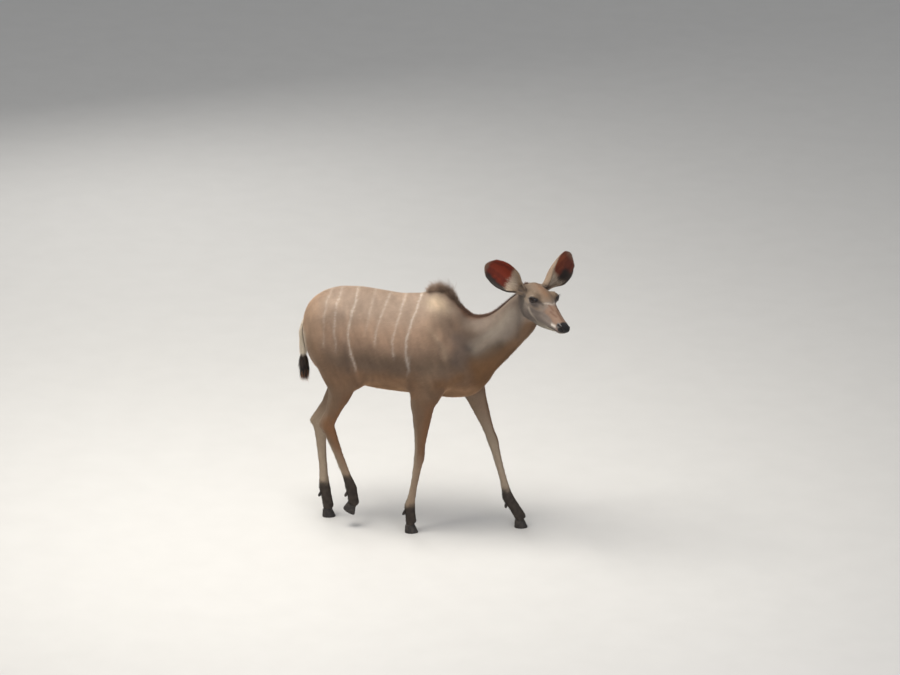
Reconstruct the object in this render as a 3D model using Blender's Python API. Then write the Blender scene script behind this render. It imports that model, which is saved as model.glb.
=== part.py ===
"""A life-size female greater kudu, a large spiral-horned antelope whose cows carry no horns.

The cow walks with the head turned to its right: three feet stand on the floor and the right hind foot
swings forward. Metres, +Z up, +X the way the body faces, +Y the animal's left.

Flesh is lofted as overlapping limbs, trunk, neck and head, fused into one surface, and parted again with
thin cuts, so that neighbouring parts meet in one flowing outline. Ears, eyes, mane, tail and hooves are
lofts of their own, each fitted against the flesh that carries it.
"""

import math

import bmesh
import bpy
import numpy as np
from mathutils import Matrix, Vector

# Driving dimensions ---------------------------------------------------------------------------------
EAR_LENGTH = 0.198
EYE_RADIUS = 0.0205
CLAW_LENGTH = 0.063  # heel to toe on the floor
CLAW_WIDTH = 0.024
CLAW_HEIGHT = 0.043
CLAW_SPLIT = 0.004  # the cleft between the two claws of a foot
GAP = 0.0004  # between neighbouring solids
CUT = 0.0004  # width of the cuts that part the flesh
CORONET_SLOPE = -10.0  # the hoof's top is higher in front

VOXEL = 0.0065  # fineness of the fused flesh
FLESH_TRIANGLES = 5980  # of the fused flesh, before it is parted
FLESH_SIDES = 28  # points round each loft
SPAN_STEPS = 5  # rings between two stations of a loft

# The head's place: the point midway between the eyes, and how it is turned from straight ahead.
EYE_LINE = Vector((0.648, -0.125, 1.199))
HEAD_YAW, HEAD_PITCH, HEAD_ROLL = -48.5, 16.0, -6.5  # to its right, nose down, left cheek down

# Trunk slices, rump to chest: x, top, bottom, half width, how far the top and the bottom taper.
TRUNK = (
    (-0.495, 1.030, 0.900, 0.052, 0.20, 0.10),
    (-0.470, 1.078, 0.815, 0.105, 0.25, 0.15),
    (-0.420, 1.125, 0.745, 0.142, 0.30, 0.25),
    (-0.340, 1.158, 0.700, 0.158, 0.32, 0.30),
    (-0.240, 1.166, 0.688, 0.158, 0.35, 0.20),
    (-0.140, 1.158, 0.676, 0.172, 0.42, 0.12),
    (-0.030, 1.147, 0.670, 0.184, 0.48, 0.12),
    (0.070, 1.160, 0.660, 0.176, 0.58, 0.25),
    (0.135, 1.188, 0.652, 0.158, 0.70, 0.40),
    (0.190, 1.166, 0.648, 0.142, 0.66, 0.48),
    (0.250, 1.105, 0.652, 0.126, 0.50, 0.45),
    (0.310, 1.050, 0.672, 0.108, 0.40, 0.35),
    (0.360, 0.985, 0.720, 0.086, 0.30, 0.25),
    (0.400, 0.915, 0.782, 0.050, 0.20, 0.20),
)

# Head slices in the head's own frame, nape to nose: x along the face, top, bottom, half width, tapers.
HEAD = (
    (-0.145, 0.008, -0.070, 0.044, 0.15, 0.20),
    (-0.115, 0.026, -0.092, 0.057, 0.20, 0.30),
    (-0.075, 0.038, -0.114, 0.064, 0.22, 0.42),
    (-0.035, 0.043, -0.128, 0.067, 0.18, 0.48),
    (0.000, 0.041, -0.130, 0.065, 0.14, 0.48),
    (0.045, 0.031, -0.120, 0.054, 0.16, 0.44),
    (0.090, 0.020, -0.102, 0.044, 0.20, 0.36),
    (0.135, 0.009, -0.083, 0.038, 0.22, 0.26),
    (0.168, 0.001, -0.065, 0.035, 0.18, 0.22),
    (0.193, -0.006, -0.055, 0.034, 0.12, 0.22),
    (0.210, -0.013, -0.047, 0.029, 0.10, 0.20),
    (0.221, -0.022, -0.039, 0.017, 0.05, 0.10),
)

# Rounded masses on the head, in its own frame: centre and half sizes. Each has a twin on the other side.
HEAD_MASSES = (
    ((-0.004, 0.051, 0.010), (0.032, 0.023, 0.028)),  # the orbit
    ((-0.045, 0.040, -0.070), (0.052, 0.026, 0.046)),  # the cheek muscle
    ((0.190, 0.016, -0.024), (0.024, 0.019, 0.019)),  # the wing of the nostril
    ((-0.108, 0.050, -0.006), (0.028, 0.028, 0.026)),  # the root of the ear
    ((0.172, 0.010, -0.051), (0.030, 0.014, 0.012)),  # the lower lip
)

# The neck's middle line, shoulder to nape: centre, half depth, half width.
NECK = (
    (0.215, 0.000, 0.885, 0.205, 0.118),
    (0.300, -0.002, 0.912, 0.170, 0.105),
    (0.375, -0.008, 0.950, 0.130, 0.083),
    (0.446, -0.020, 1.002, 0.105, 0.070),
    (0.505, -0.034, 1.064, 0.094, 0.063),
    (0.550, -0.048, 1.124, 0.085, 0.059),
    (0.592, -0.062, 1.170, 0.070, 0.053),
)

# Muscles that lie over the trunk, on both sides: centre, half sizes and lean forward in degrees.
TRUNK_MASSES = (
    ((0.178, 0.082, 0.965), (0.080, 0.046, 0.165), -12.0),  # the shoulder blade
    ((0.262, 0.070, 0.805), (0.095, 0.052, 0.095), 0.0),  # the point of the shoulder
    ((0.115, 0.100, 0.760), (0.085, 0.055, 0.115), 25.0),  # the back of the upper arm
    ((-0.340, 0.088, 0.985), (0.125, 0.060, 0.130), 0.0),  # the haunch
    ((-0.235, 0.112, 0.800), (0.090, 0.046, 0.110), 20.0),  # the front of the thigh
)

# Limb girths: which joint, share of the way to the next one, half depth fore and aft, half width.
FORE_GIRTHS = (
    (0, 0.00, 0.100, 0.050),
    (0, 0.50, 0.092, 0.052),
    (1, 0.00, 0.066, 0.044),
    (1, 0.22, 0.050, 0.037),
    (1, 0.50, 0.036, 0.030),
    (1, 0.80, 0.0255, 0.0250),
    (2, 0.00, 0.0265, 0.0265),
    (2, 0.14, 0.0225, 0.0210),
    (2, 0.45, 0.0200, 0.0168),
    (2, 0.80, 0.0205, 0.0180),
    (3, 0.00, 0.0275, 0.0240),
    (3, 0.45, 0.0258, 0.0235),
    (3, 1.00, 0.0270, 0.0268),
    (4, 0.00, 0.0265, 0.0268),
)
HIND_GIRTHS = (
    (0, 0.00, 0.120, 0.060),
    (0, 0.50, 0.126, 0.062),
    (1, 0.00, 0.110, 0.058),
    (1, 0.50, 0.088, 0.050),
    (2, 0.00, 0.066, 0.042),
    (2, 0.45, 0.043, 0.032),
    (2, 0.80, 0.0320, 0.0250),
    (3, 0.00, 0.0345, 0.0250),
    (3, 0.12, 0.0305, 0.0235),
    (3, 0.40, 0.0240, 0.0190),
    (3, 0.80, 0.0228, 0.0185),
    (4, 0.00, 0.0285, 0.0240),
    (4, 0.45, 0.0262, 0.0235),
    (4, 1.00, 0.0270, 0.0265),
    (5, 0.00, 0.0265, 0.0265),
)

# Each leg's joints, top to bottom, then how far its foot is tipped toe down. The last joint is the
# middle of the hoof's top.
LEGS = {
    "leg_front_right": (
        FORE_GIRTHS,
        ((0.150, -0.100, 0.850), (0.088, -0.122, 0.668), (0.064, -0.094, 0.378), (0.017, -0.085, 0.128)),
        (0.022, -0.082, 0.050),
        0.0,
    ),
    "leg_front_left": (
        FORE_GIRTHS,
        ((0.216, 0.100, 0.850), (0.270, 0.120, 0.675), (0.374, 0.100, 0.410), (0.448, 0.085, 0.142)),
        (0.510, 0.077, 0.050),
        0.0,
    ),
    "leg_hind_left": (
        HIND_GIRTHS,
        (
            (-0.360, 0.092, 0.960),
            (-0.335, 0.104, 0.830),
            (-0.325, 0.102, 0.700),
            (-0.441, 0.066, 0.460),
            (-0.415, 0.046, 0.142),
        ),
        (-0.396, 0.040, 0.050),
        0.0,
    ),
    "leg_hind_right": (
        HIND_GIRTHS,
        (
            (-0.345, -0.092, 0.960),
            (-0.315, -0.106, 0.830),
            (-0.300, -0.110, 0.695),
            (-0.368, -0.094, 0.505),
            (-0.262, -0.078, 0.198),
        ),
        (-0.250, -0.073, 0.122),
        32.0,
    ),
}
HOCK_POINT = Vector((-0.021, 0.0, 0.022))  # the heel bone's end, from the hock's middle

# Knives that part the flesh. A leg's is a flat four-cornered cut, which starts between the legs and
# slopes up and out; its x is from the elbow or the stifle.
FORE_CUT = ((0.125, 0.045, 0.632), (-0.095, 0.045, 0.632), (-0.095, 0.235, 0.745), (0.125, 0.235, 0.745))
HIND_CUT = ((0.190, 0.003, 0.607), (-0.250, 0.003, 0.742), (-0.250, 0.240, 0.927), (0.190, 0.240, 0.792))
NECK_CUT = ((0.315, -0.004, 0.935), (0.93, -0.03, 0.37), 0.235)  # middle, the way it faces, half size
HEAD_CUT = ((-0.095, 0.000, -0.060), (0.73, 0.05, 0.68), 0.150)  # the same, in the head's frame

# Ears in the head's frame: root, the way the ear points, the way its cup opens.
EARS = {
    "ear_right": ((-0.104, -0.068, -0.004), (-0.103, -0.166, 0.096), (0.72, -0.31, 0.58)),
    "ear_left": ((-0.100, 0.062, 0.015), (-0.072, 0.169, 0.125), (0.76, 0.31, 0.51)),
}
# Ear slices: share of the length, radius of the cup, how far round it wraps in degrees.
EAR_CUP = (
    (0.00, 0.0215, 155),
    (0.13, 0.0320, 128),
    (0.28, 0.0490, 102),
    (0.46, 0.0590, 86),
    (0.64, 0.0650, 71),
    (0.82, 0.0640, 54),
    (0.94, 0.0580, 42),
    (1.00, 0.0500, 22),
)
EAR_BULGE = 0.012  # how far the ear's back curves away from a straight line
EAR_WALL = 0.0045
EAR_ARC_STEPS = 7

# The tail's middle line, root to tip: centre, half depth, half width. It ends in a brush of long hair.
TAIL = (
    (-0.440, 0.000, 1.035, 0.026, 0.026),
    (-0.478, 0.000, 1.000, 0.022, 0.023),
    (-0.498, 0.001, 0.940, 0.017, 0.021),
    (-0.502, 0.002, 0.870, 0.015, 0.020),
    (-0.500, 0.003, 0.800, 0.018, 0.020),
    (-0.498, 0.004, 0.745, 0.022, 0.023),
    (-0.496, 0.005, 0.705, 0.018, 0.018),
    (-0.494, 0.006, 0.680, 0.006, 0.006),
)

# The crests of standing hair. On the hump: x, height of the skin, how far the hair stands above it.
MANE_HUMP = (
    (0.060, 1.160, 0.004),
    (0.100, 1.176, 0.020),
    (0.140, 1.188, 0.028),
    (0.185, 1.168, 0.038),
    (0.222, 1.132, 0.048),
    (0.246, 1.108, 0.030),
)
MANE_NECK = ((1, 0.022), (2, 0.012), (3, 0.010), (4, 0.010), (5, 0.009), (6, 0.006))  # the neck's slice, the hair
MANE_ROOT = 0.030  # how deep a crest's blade starts under the skin, before it is fitted to it
MANE_HALF_WIDTH = 0.010


# Modelling tools ------------------------------------------------------------------------------------
def clear_scene():
    for obj in list(bpy.data.objects):
        bpy.data.objects.remove(obj, do_unlink=True)


def finish(name, colour, roughness):
    mat = bpy.data.materials.new(name)
    mat.use_nodes = True
    shader = mat.node_tree.nodes["Principled BSDF"]
    shader.inputs["Base Color"].default_value = (*colour, 1.0)
    shader.inputs["Roughness"].default_value = roughness
    return mat


def object_from(name, bm, mat=None):
    mesh = bpy.data.meshes.new(name)
    bm.to_mesh(mesh)
    bm.free()
    obj = bpy.data.objects.new(name, mesh)
    bpy.context.collection.objects.link(obj)
    if mat:
        mesh.materials.append(mat)
    return obj


def smooth_rows(rows, steps=SPAN_STEPS):
    """Rows of numbers with `steps` rows for each given one, on a Catmull-Rom curve through them."""
    points = np.array(rows, float)
    padded = np.vstack([2 * points[0] - points[1], points, 2 * points[-1] - points[-2]])
    dense = []
    for i in range(len(points) - 1):
        p0, p1, p2, p3 = padded[i : i + 4]
        for t in np.arange(steps) / steps:
            dense.append(
                0.5
                * (
                    2 * p1
                    + (p2 - p0) * t
                    + (2 * p0 - 5 * p1 + 4 * p2 - p3) * t * t
                    + (3 * p1 - p0 - 3 * p2 + p3) * t**3
                )
            )
    dense.append(points[-1])
    return np.array(dense)


def add_ring(bm, points):
    """A closed ring of edges through the points, made from Blender's circle."""
    ring = bmesh.ops.create_circle(bm, cap_ends=False, segments=len(points), radius=1.0)["verts"]
    for vert, point in zip(ring, points):
        vert.co = point
    return ring


def edges_of(ring):
    inside = set(ring)
    return list({e for v in ring for e in v.link_edges if e.other_vert(v) in inside})


def skin_rings(rings):
    """A closed body through rings of points."""
    bm = bmesh.new()
    loops = [edges_of(add_ring(bm, ring)) for ring in rings]
    for first, second in zip(loops, loops[1:]):
        bmesh.ops.bridge_loops(bm, edges=first + second)
    for loop in (loops[0], loops[-1]):
        bmesh.ops.contextual_create(bm, geom=loop)
    bmesh.ops.recalc_face_normals(bm, faces=bm.faces)
    return bm


def slice_points(x, top, bottom, half_width, top_taper, bottom_taper, sides=FLESH_SIDES):
    """An upright slice across a body: a rounded oval that narrows to its top and its bottom."""
    middle, half = (top + bottom) / 2, (top - bottom) / 2
    points = []
    for k in range(sides):
        angle = 2 * math.pi * k / sides
        side, rise = math.cos(angle), math.sin(angle)
        taper = top_taper * max(0.0, rise) ** 2 + bottom_taper * max(0.0, -rise) ** 2
        squared = math.copysign(abs(side) ** 0.86, side)
        points.append(Vector((x, half_width * squared * (1 - taper), middle + half * rise)))
    return points


def sliced_body(name, rows, place=Matrix()):
    rings = [[place @ p for p in slice_points(*row)] for row in smooth_rows(rows)]
    return object_from(name, skin_rings(rings))


def limb_rings(rows, sides, steps=SPAN_STEPS):
    """Oval rings square to a limb's middle line. A row is centre, half depth, half width."""
    dense = smooth_rows(rows, steps)
    centres = [Vector(row[:3]) for row in dense]
    rings = []
    for i, row in enumerate(dense):
        along = (centres[min(i + 1, len(dense) - 1)] - centres[max(i - 1, 0)]).normalized()
        side = Vector((0, 1, 0)) - along * along.y
        side.normalize()
        fore = along.cross(side)
        rings.append(
            [
                centres[i]
                + fore * row[3] * math.cos(2 * math.pi * k / sides)
                + side * row[4] * math.sin(2 * math.pi * k / sides)
                for k in range(sides)
            ]
        )
    return rings


def limb(name, rows, mat=None, sides=FLESH_SIDES, steps=SPAN_STEPS):
    return object_from(name, skin_rings(limb_rings(rows, sides, steps)), mat)


def mass(name, centre, half_sizes, place=Matrix(), lean=0.0, radius=1.0, divisions=3):
    """An ellipsoid, turned by `lean` degrees towards the front."""
    bm = bmesh.new()
    bmesh.ops.create_icosphere(bm, subdivisions=divisions, radius=radius)
    turn = Matrix.Rotation(math.radians(lean), 4, "Y")
    shape = place @ Matrix.Translation(centre) @ turn @ Matrix.Diagonal((*half_sizes, 1.0))
    bmesh.ops.transform(bm, matrix=shape, verts=bm.verts)
    return object_from(name, bm)


def apply_modifiers(obj):
    bpy.context.view_layer.update()
    graph = bpy.context.evaluated_depsgraph_get()
    made = bpy.data.meshes.new_from_object(obj.evaluated_get(graph))
    obj.modifiers.clear()
    obj.data = made


def cut_away(obj, cutter):
    """Cuts one body out of another and removes the cutter."""
    boolean = obj.modifiers.new("cut", "BOOLEAN")
    boolean.operation = "DIFFERENCE"
    boolean.solver = "EXACT"
    boolean.object = cutter
    apply_modifiers(obj)
    bpy.data.objects.remove(cutter, do_unlink=True)


def swollen(obj, by=1.5 * GAP):
    """A copy of a body, grown by `by` all round."""
    bm = bmesh.new()
    bm.from_mesh(obj.data)
    bm.normal_update()
    for vert in bm.verts:
        vert.co += vert.normal * by
    return object_from(obj.name + "_swollen", bm)


def knife(name, corners):
    """A thin slab through four corners."""
    bm = bmesh.new()
    face = bm.faces.new([bm.verts.new(c) for c in corners])
    bm.normal_update()
    moved = bmesh.ops.extrude_face_region(bm, geom=[face])["geom"]
    offset = face.normal * CUT
    bmesh.ops.translate(bm, vec=offset, verts=[g for g in moved if isinstance(g, bmesh.types.BMVert)])
    bmesh.ops.recalc_face_normals(bm, faces=bm.faces)
    return object_from(name, bm)


def square_knife(name, centre, normal, half_size):
    """A square cut, its middle at `centre`, that faces along `normal`."""
    turn = Vector(normal).to_track_quat("Z", "Y").to_matrix()
    corners = [
        Vector(centre) + turn @ Vector((a * half_size, b * half_size, 0))
        for a, b in ((-1, -1), (1, -1), (1, 1), (-1, 1))
    ]
    return knife(name, corners)


def pieces_of(obj):
    """The separate closed pieces of a mesh, each as a new mesh in its own bmesh."""
    bm = bmesh.new()
    bm.from_mesh(obj.data)
    found = []
    unseen = set(bm.verts)
    while unseen:
        island, edge = set(), [unseen.pop()]
        while edge:
            vert = edge.pop()
            island.add(vert)
            for e in vert.link_edges:
                other = e.other_vert(vert)
                if other in unseen:
                    unseen.discard(other)
                    edge.append(other)
        found.append({v.index for v in island})
    bm.free()
    made = []
    for keep in found:
        part = bmesh.new()
        part.from_mesh(obj.data)
        part.verts.ensure_lookup_table()
        bmesh.ops.delete(part, geom=[v for v in part.verts if v.index not in keep], context="VERTS")
        made.append(part)
    return made


# The flesh ------------------------------------------------------------------------------------------
def head_place():
    turn = (
        Matrix.Rotation(math.radians(HEAD_YAW), 4, "Z")
        @ Matrix.Rotation(math.radians(HEAD_PITCH), 4, "Y")
        @ Matrix.Rotation(math.radians(HEAD_ROLL), 4, "X")
    )
    return Matrix.Translation(EYE_LINE) @ turn


def leg_rows(girths, joints, coronet):
    """A leg's loft rows: its joints with the shared girths. It runs on into the hoof."""
    points = [Vector(p) for p in (*joints, coronet)]
    points.append(points[-1] + (points[-1] - points[-2]).normalized() * 0.03)
    rows = []
    for joint, share, depth, width in girths:
        onward = points[min(joint + 1, len(points) - 1)]
        end = 0.4 if joint == len(points) - 2 else share
        rows.append((*points[joint].lerp(onward, end), depth, width))
    return rows


def raw_flesh(place):
    """All the flesh as overlapping closed bodies."""
    bodies = [
        sliced_body("trunk_loft", TRUNK),
        sliced_body("head_loft", HEAD, place),
        limb("neck_loft", NECK),
    ]
    for side in (1, -1):
        mirror = Matrix.Diagonal((1, side, 1, 1))
        for centre, sizes, lean in TRUNK_MASSES:
            bodies.append(mass("muscle", mirror @ Vector(centre), sizes, lean=lean))
        for centre, sizes in HEAD_MASSES:
            bodies.append(mass("head_mass", mirror @ Vector(centre), sizes, place))
    for name, (girths, joints, coronet, _) in LEGS.items():
        bodies.append(limb(name + "_loft", leg_rows(girths, joints, coronet)))
        if girths is HIND_GIRTHS:
            stifle, hock, fetlock = (Vector(p) for p in joints[2:])
            turn = Vector((0, 0, -1)).rotation_difference((fetlock - hock).normalized()).to_matrix()
            heel = hock + turn @ HOCK_POINT
            upward = hock.lerp(stifle, 0.55) + turn @ Vector((-0.022, 0, 0))
            below = heel - (upward - heel) * 0.25
            tendon = ((*below, 0.016, 0.016), (*heel, 0.017, 0.016), (*upward, 0.014, 0.012))
            bodies.append(limb("tendon", tendon))
    return bodies


def join(bodies, name):
    bm = bmesh.new()
    for body in bodies:
        bm.from_mesh(body.data)
        bpy.data.objects.remove(body, do_unlink=True)
    return object_from(name, bm)


def softness(point, place):
    """How freely a point of the flesh is smoothed: the trunk and its junctions most, feet and face least."""
    in_head = place.inverted() @ point
    if in_head.x > -0.11 and in_head.length < 0.25:
        return 0.03
    upper_body = min(max((point.z - 0.56) / 0.14, 0.0), 1.0)
    return 0.03 + 0.97 * upper_body


def fused_flesh(place):
    """One smooth surface over all the flesh, with few triangles where it is flat."""
    flesh = join(raw_flesh(place), "flesh")
    remesh = flesh.modifiers.new("fuse", "REMESH")
    remesh.mode = "VOXEL"
    remesh.voxel_size = VOXEL
    apply_modifiers(flesh)
    group = flesh.vertex_groups.new(name="softness")
    for vert in flesh.data.vertices:
        group.add([vert.index], softness(vert.co, place), "REPLACE")
    for factor, times in ((0.5, 60), (0.5, 2)):
        soften = flesh.modifiers.new("soften", "SMOOTH")
        soften.factor = factor
        soften.iterations = times
        soften.vertex_group = "softness" if times > 2 else ""
    apply_modifiers(flesh)
    thin = flesh.modifiers.new("thin_out", "DECIMATE")
    thin.ratio = FLESH_TRIANGLES / (2 * len(flesh.data.polygons))
    thin.use_collapse_triangulate = True
    thin.vertex_group = "softness"
    thin.vertex_group_factor = 0.11
    apply_modifiers(flesh)
    flesh.vertex_groups.clear()
    return flesh


def foot_place(name):
    """The frame of a foot: its origin under the hoof's top at the sole, tipped toe down if it is lifted."""
    _, joints, coronet, tip = LEGS[name]
    sole = Matrix.Translation((0, 0, -Vector(coronet).z)) if tip == 0 else Matrix.Translation((0, 0, -0.05))
    return Matrix.Translation(coronet) @ Matrix.Rotation(math.radians(tip), 4, "Y") @ sole


def block(name, low, high, place):
    bm = bmesh.new()
    bmesh.ops.create_cube(bm, size=1.0)
    low, high = Vector(low), Vector(high)
    size = Matrix.Diagonal((*(high - low), 1.0))
    bmesh.ops.transform(bm, matrix=place @ Matrix.Translation((low + high) / 2) @ size, verts=bm.verts)
    return object_from(name, bm)


def parted_flesh(place):
    """The flesh parted at the neck, the head and the legs, as bodies without names."""
    flesh = fused_flesh(place)
    for name in LEGS:
        slope = Matrix.Rotation(math.radians(CORONET_SLOPE), 4, "Y")
        top = foot_place(name) @ Matrix.Translation((0, 0, CLAW_HEIGHT)) @ slope
        cut_away(flesh, block("below_the_coronet", (-0.07, -0.06, -0.12), (0.09, 0.06, 0.0), top))
    cut_away(flesh, square_knife("neck_root", *NECK_CUT))
    middle, normal, half_size = HEAD_CUT
    cut_away(flesh, square_knife("head_root", place @ Vector(middle), place.to_3x3() @ Vector(normal), half_size))
    for name, (girths, joints, _, _) in LEGS.items():
        corners, joint = (FORE_CUT, joints[1]) if girths is FORE_GIRTHS else (HIND_CUT, joints[2])
        side = math.copysign(1, joint[1])
        cut_away(flesh, knife(name + "_root", [(joint[0] + x, side * y, z) for x, y, z in corners]))
    return flesh


def named_flesh(place, mat):
    """The parted flesh as named objects, each piece known by the named point that it lies nearest."""
    flesh = parted_flesh(place)
    marks = {"trunk": Vector((-0.08, 0, 0.93)), "neck": Vector((0.45, -0.03, 1.0))}
    marks["head"] = place @ Vector((0.03, 0, -0.03))
    for name, (girths, joints, _, _) in LEGS.items():
        marks[name] = Vector(joints[2 if girths is FORE_GIRTHS else 3])
    found = {}
    for part in sorted(pieces_of(flesh), key=lambda bm: -bm.calc_volume()):
        middle = sum((v.co for v in part.verts), Vector()) / len(part.verts)
        name = min(marks, key=lambda n: (marks[n] - middle).length)
        if name in found:
            print("left over near", name, part.calc_volume())
            part.free()
        else:
            found[name] = object_from(name, part, mat)
    bpy.data.objects.remove(flesh, do_unlink=True)
    return found


# What the flesh carries -----------------------------------------------------------------------------
def ear(name, place, mat):
    """A leaf-shaped cup: thin crescents, square to the ear's length, joined root to tip."""
    root, points_to, opens_to = (Vector(v) for v in EARS[name])
    turn = place.to_3x3()
    along = (turn @ points_to).normalized()
    front = turn @ opens_to
    front = (front - along * front.dot(along)).normalized()
    side = along.cross(front)
    base = place @ root
    rings = []
    for share, radius, wrap in smooth_rows(EAR_CUP, 1):
        middle = base + along * EAR_LENGTH * share + front * (radius - EAR_BULGE * math.sin(math.pi * share) - 0.005)
        arc = [math.radians(wrap * (2 * k / EAR_ARC_STEPS - 1)) for k in range(EAR_ARC_STEPS + 1)]
        walls = ((radius + EAR_WALL / 2, arc), (max(radius - EAR_WALL / 2, 0.002), arc[::-1]))
        rings.append(
            [middle - front * r * math.cos(a) + side * r * math.sin(a) for r, angles in walls for a in angles]
        )
    return object_from(name, skin_rings(rings), mat)


def crest(name, rows, mat):
    """A blade of standing hair. A row is a point of the skin, the way its hair stands and the hair's length."""
    rings = []
    for row in smooth_rows(rows, 3):
        skin, hair = Vector(row[:3]), row[6]
        stands = Vector(row[3:6]).normalized()
        shape = ((-1, -MANE_ROOT), (-0.9, 0), (-0.35, hair), (0.35, hair), (0.9, 0), (1, -MANE_ROOT))
        rings.append([skin + Vector((0, MANE_HALF_WIDTH * a, 0)) + stands * rise for a, rise in shape])
    return object_from(name, skin_rings(rings), mat)


def hump_rows():
    return [(x, 0, skin, 0, 0, 1, hair) for x, skin, hair in MANE_HUMP]


def neck_crest_rows():
    """The crest's rows on the neck's upper edge, worked out from the neck's own slices."""
    rows = []
    for index, hair in MANE_NECK:
        middle = Vector(NECK[index][:3])
        along = Vector(NECK[min(index + 1, len(NECK) - 1)][:3]) - Vector(NECK[index - 1][:3])
        stands = Vector((-along.z, 0, along.x)).normalized()
        rows.append((*(middle + stands * NECK[index][3]), *stands, hair))
    return rows


def claw_outline(level):
    """The outline of a claw at a share of its height, heel to toe, before it is set to its side."""
    length = CLAW_LENGTH * (1.0 - 0.38 * level)
    heel = -0.029 + 0.002 * level
    width = CLAW_WIDTH * (1.04 - 0.10 * level)
    outline = []
    for share, across in ((0.0, 0.30), (0.10, 0.78), (0.35, 1.0), (0.62, 0.94), (0.84, 0.66), (0.97, 0.28)):
        outline.append((heel + length * share, width * across))
    inner = [(heel + length * share, 0.0) for share in (1.0, 0.80, 0.50, 0.20, 0.03)]
    return outline + inner


def claw(name, foot, side, mat):
    """One of a foot's two claws: a flat inner wall, a rounded outer one and a flat sole."""
    rings = []
    for level in (0.0, 0.12, 0.55, 1.0):
        ring = []
        for x, y in claw_outline(level):
            top = CLAW_HEIGHT - GAP + x * math.tan(math.radians(-CORONET_SLOPE))
            inset = 0.985 if level == 0.0 else 1.0
            ring.append(foot @ Vector((x * inset, side * (CLAW_SPLIT / 2 + y * inset), level * top)))
        rings.append(ring)
    return object_from(name, skin_rings(rings), mat)


def dewclaw(name, leg, side, mat):
    """One of the two small claws behind the pastern."""
    _, joints, coronet, _ = LEGS[leg]
    fetlock = Vector(joints[-1])
    down = (Vector(coronet) - fetlock).normalized()
    back = (Vector((-1, 0, 0)) + down * down.x).normalized()
    root = fetlock + down * 0.022 + back * 0.021 + Vector((0, side * 0.012, 0))
    tip = root + down * 0.016 + back * 0.014
    radii = ((0, 0.008), (0.5, 0.0078), (0.85, 0.0055), (1, 0.003))
    rows = [(*root.lerp(tip, share), radius, radius * 1.15) for share, radius in radii]
    return limb(name, rows, mat, sides=6, steps=1)


def fit(piece, carrier):
    """Ends a piece at the surface that carries it, a small gap off."""
    cut_away(piece, swollen(carrier))


def keep_largest(obj):
    """Drops what a fit left on the far side of the carrier."""
    parts = sorted(pieces_of(obj), key=lambda bm: -bm.calc_volume())
    parts[0].to_mesh(obj.data)
    for part in parts:
        part.free()


def centre_on_floor(objects):
    """Moves the whole animal so that the middle of its box is over the origin, and its soles at zero."""
    corners = np.array([v.co for obj in objects for v in obj.data.vertices])
    low, high = corners.min(0), corners.max(0)
    shift = Matrix.Translation((-(low[0] + high[0]) / 2, -(low[1] + high[1]) / 2, -low[2]))
    for obj in objects:
        obj.data.transform(shift)
        obj.data.update()


def main():
    clear_scene()
    place = head_place()
    coat = finish("tawny_coat", (0.42, 0.29, 0.20), 0.85)
    horn = finish("claw_horn", (0.03, 0.025, 0.022), 0.45)
    eye_skin = finish("wet_eye", (0.02, 0.012, 0.008), 0.08)
    long_hair = finish("brown_mane", (0.16, 0.10, 0.06), 0.9)

    nodes = named_flesh(place, coat)
    for side, word in ((1, "left"), (-1, "right")):
        centre = place @ Vector((0.000, side * 0.0565, 0.010))
        eye = mass("eye_" + word, centre, (EYE_RADIUS,) * 3, divisions=2)
        eye.data.materials.append(eye_skin)
        cut_away(nodes["head"], mass("socket", centre, (EYE_RADIUS + GAP,) * 3, divisions=2))
        nodes[eye.name] = eye
    for name in EARS:
        nodes[name] = ear(name, place, coat)
        fit(nodes[name], nodes["head"])
        keep_largest(nodes[name])
    for name, rows, carriers in (
        ("mane_hump", hump_rows(), ("trunk", "neck")),
        ("mane_neck", neck_crest_rows(), ("trunk", "neck", "head", "mane_hump")),
    ):
        nodes[name] = crest(name, rows, long_hair)
        for carrier in carriers:
            fit(nodes[name], nodes[carrier])
        keep_largest(nodes[name])
    nodes["tail"] = limb("tail", TAIL, long_hair, sides=10, steps=2)
    fit(nodes["tail"], nodes["trunk"])
    keep_largest(nodes["tail"])
    for leg in LEGS:
        foot = foot_place(leg)
        for side, word in ((1, "left"), (-1, "right")):
            name = leg.replace("leg", "claw") + "_" + word
            nodes[name] = claw(name, foot, side, horn)
            spur = leg.replace("leg", "dewclaw") + "_" + word
            nodes[spur] = dewclaw(spur, leg, side, horn)
            cut_away(nodes[leg], swollen(nodes[spur]))
    centre_on_floor(list(nodes.values()))
    for obj in nodes.values():
        obj.data.shade_smooth()
        print(obj.name, sum(len(face.vertices) - 2 for face in obj.data.polygons), "triangles")


main()
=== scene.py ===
"""A greater kudu cow, still and life-size: one skin with its markings, the coat, mane and brush laid over
it in tufts, the eyes and the hooves, under soft studio light. Lengths are in metres."""
import math

import bmesh
import bpy
import numpy as np
from mathutils import Matrix, Vector, noise
from mathutils.bvhtree import BVHTree
from mathutils.kdtree import KDTree


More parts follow.
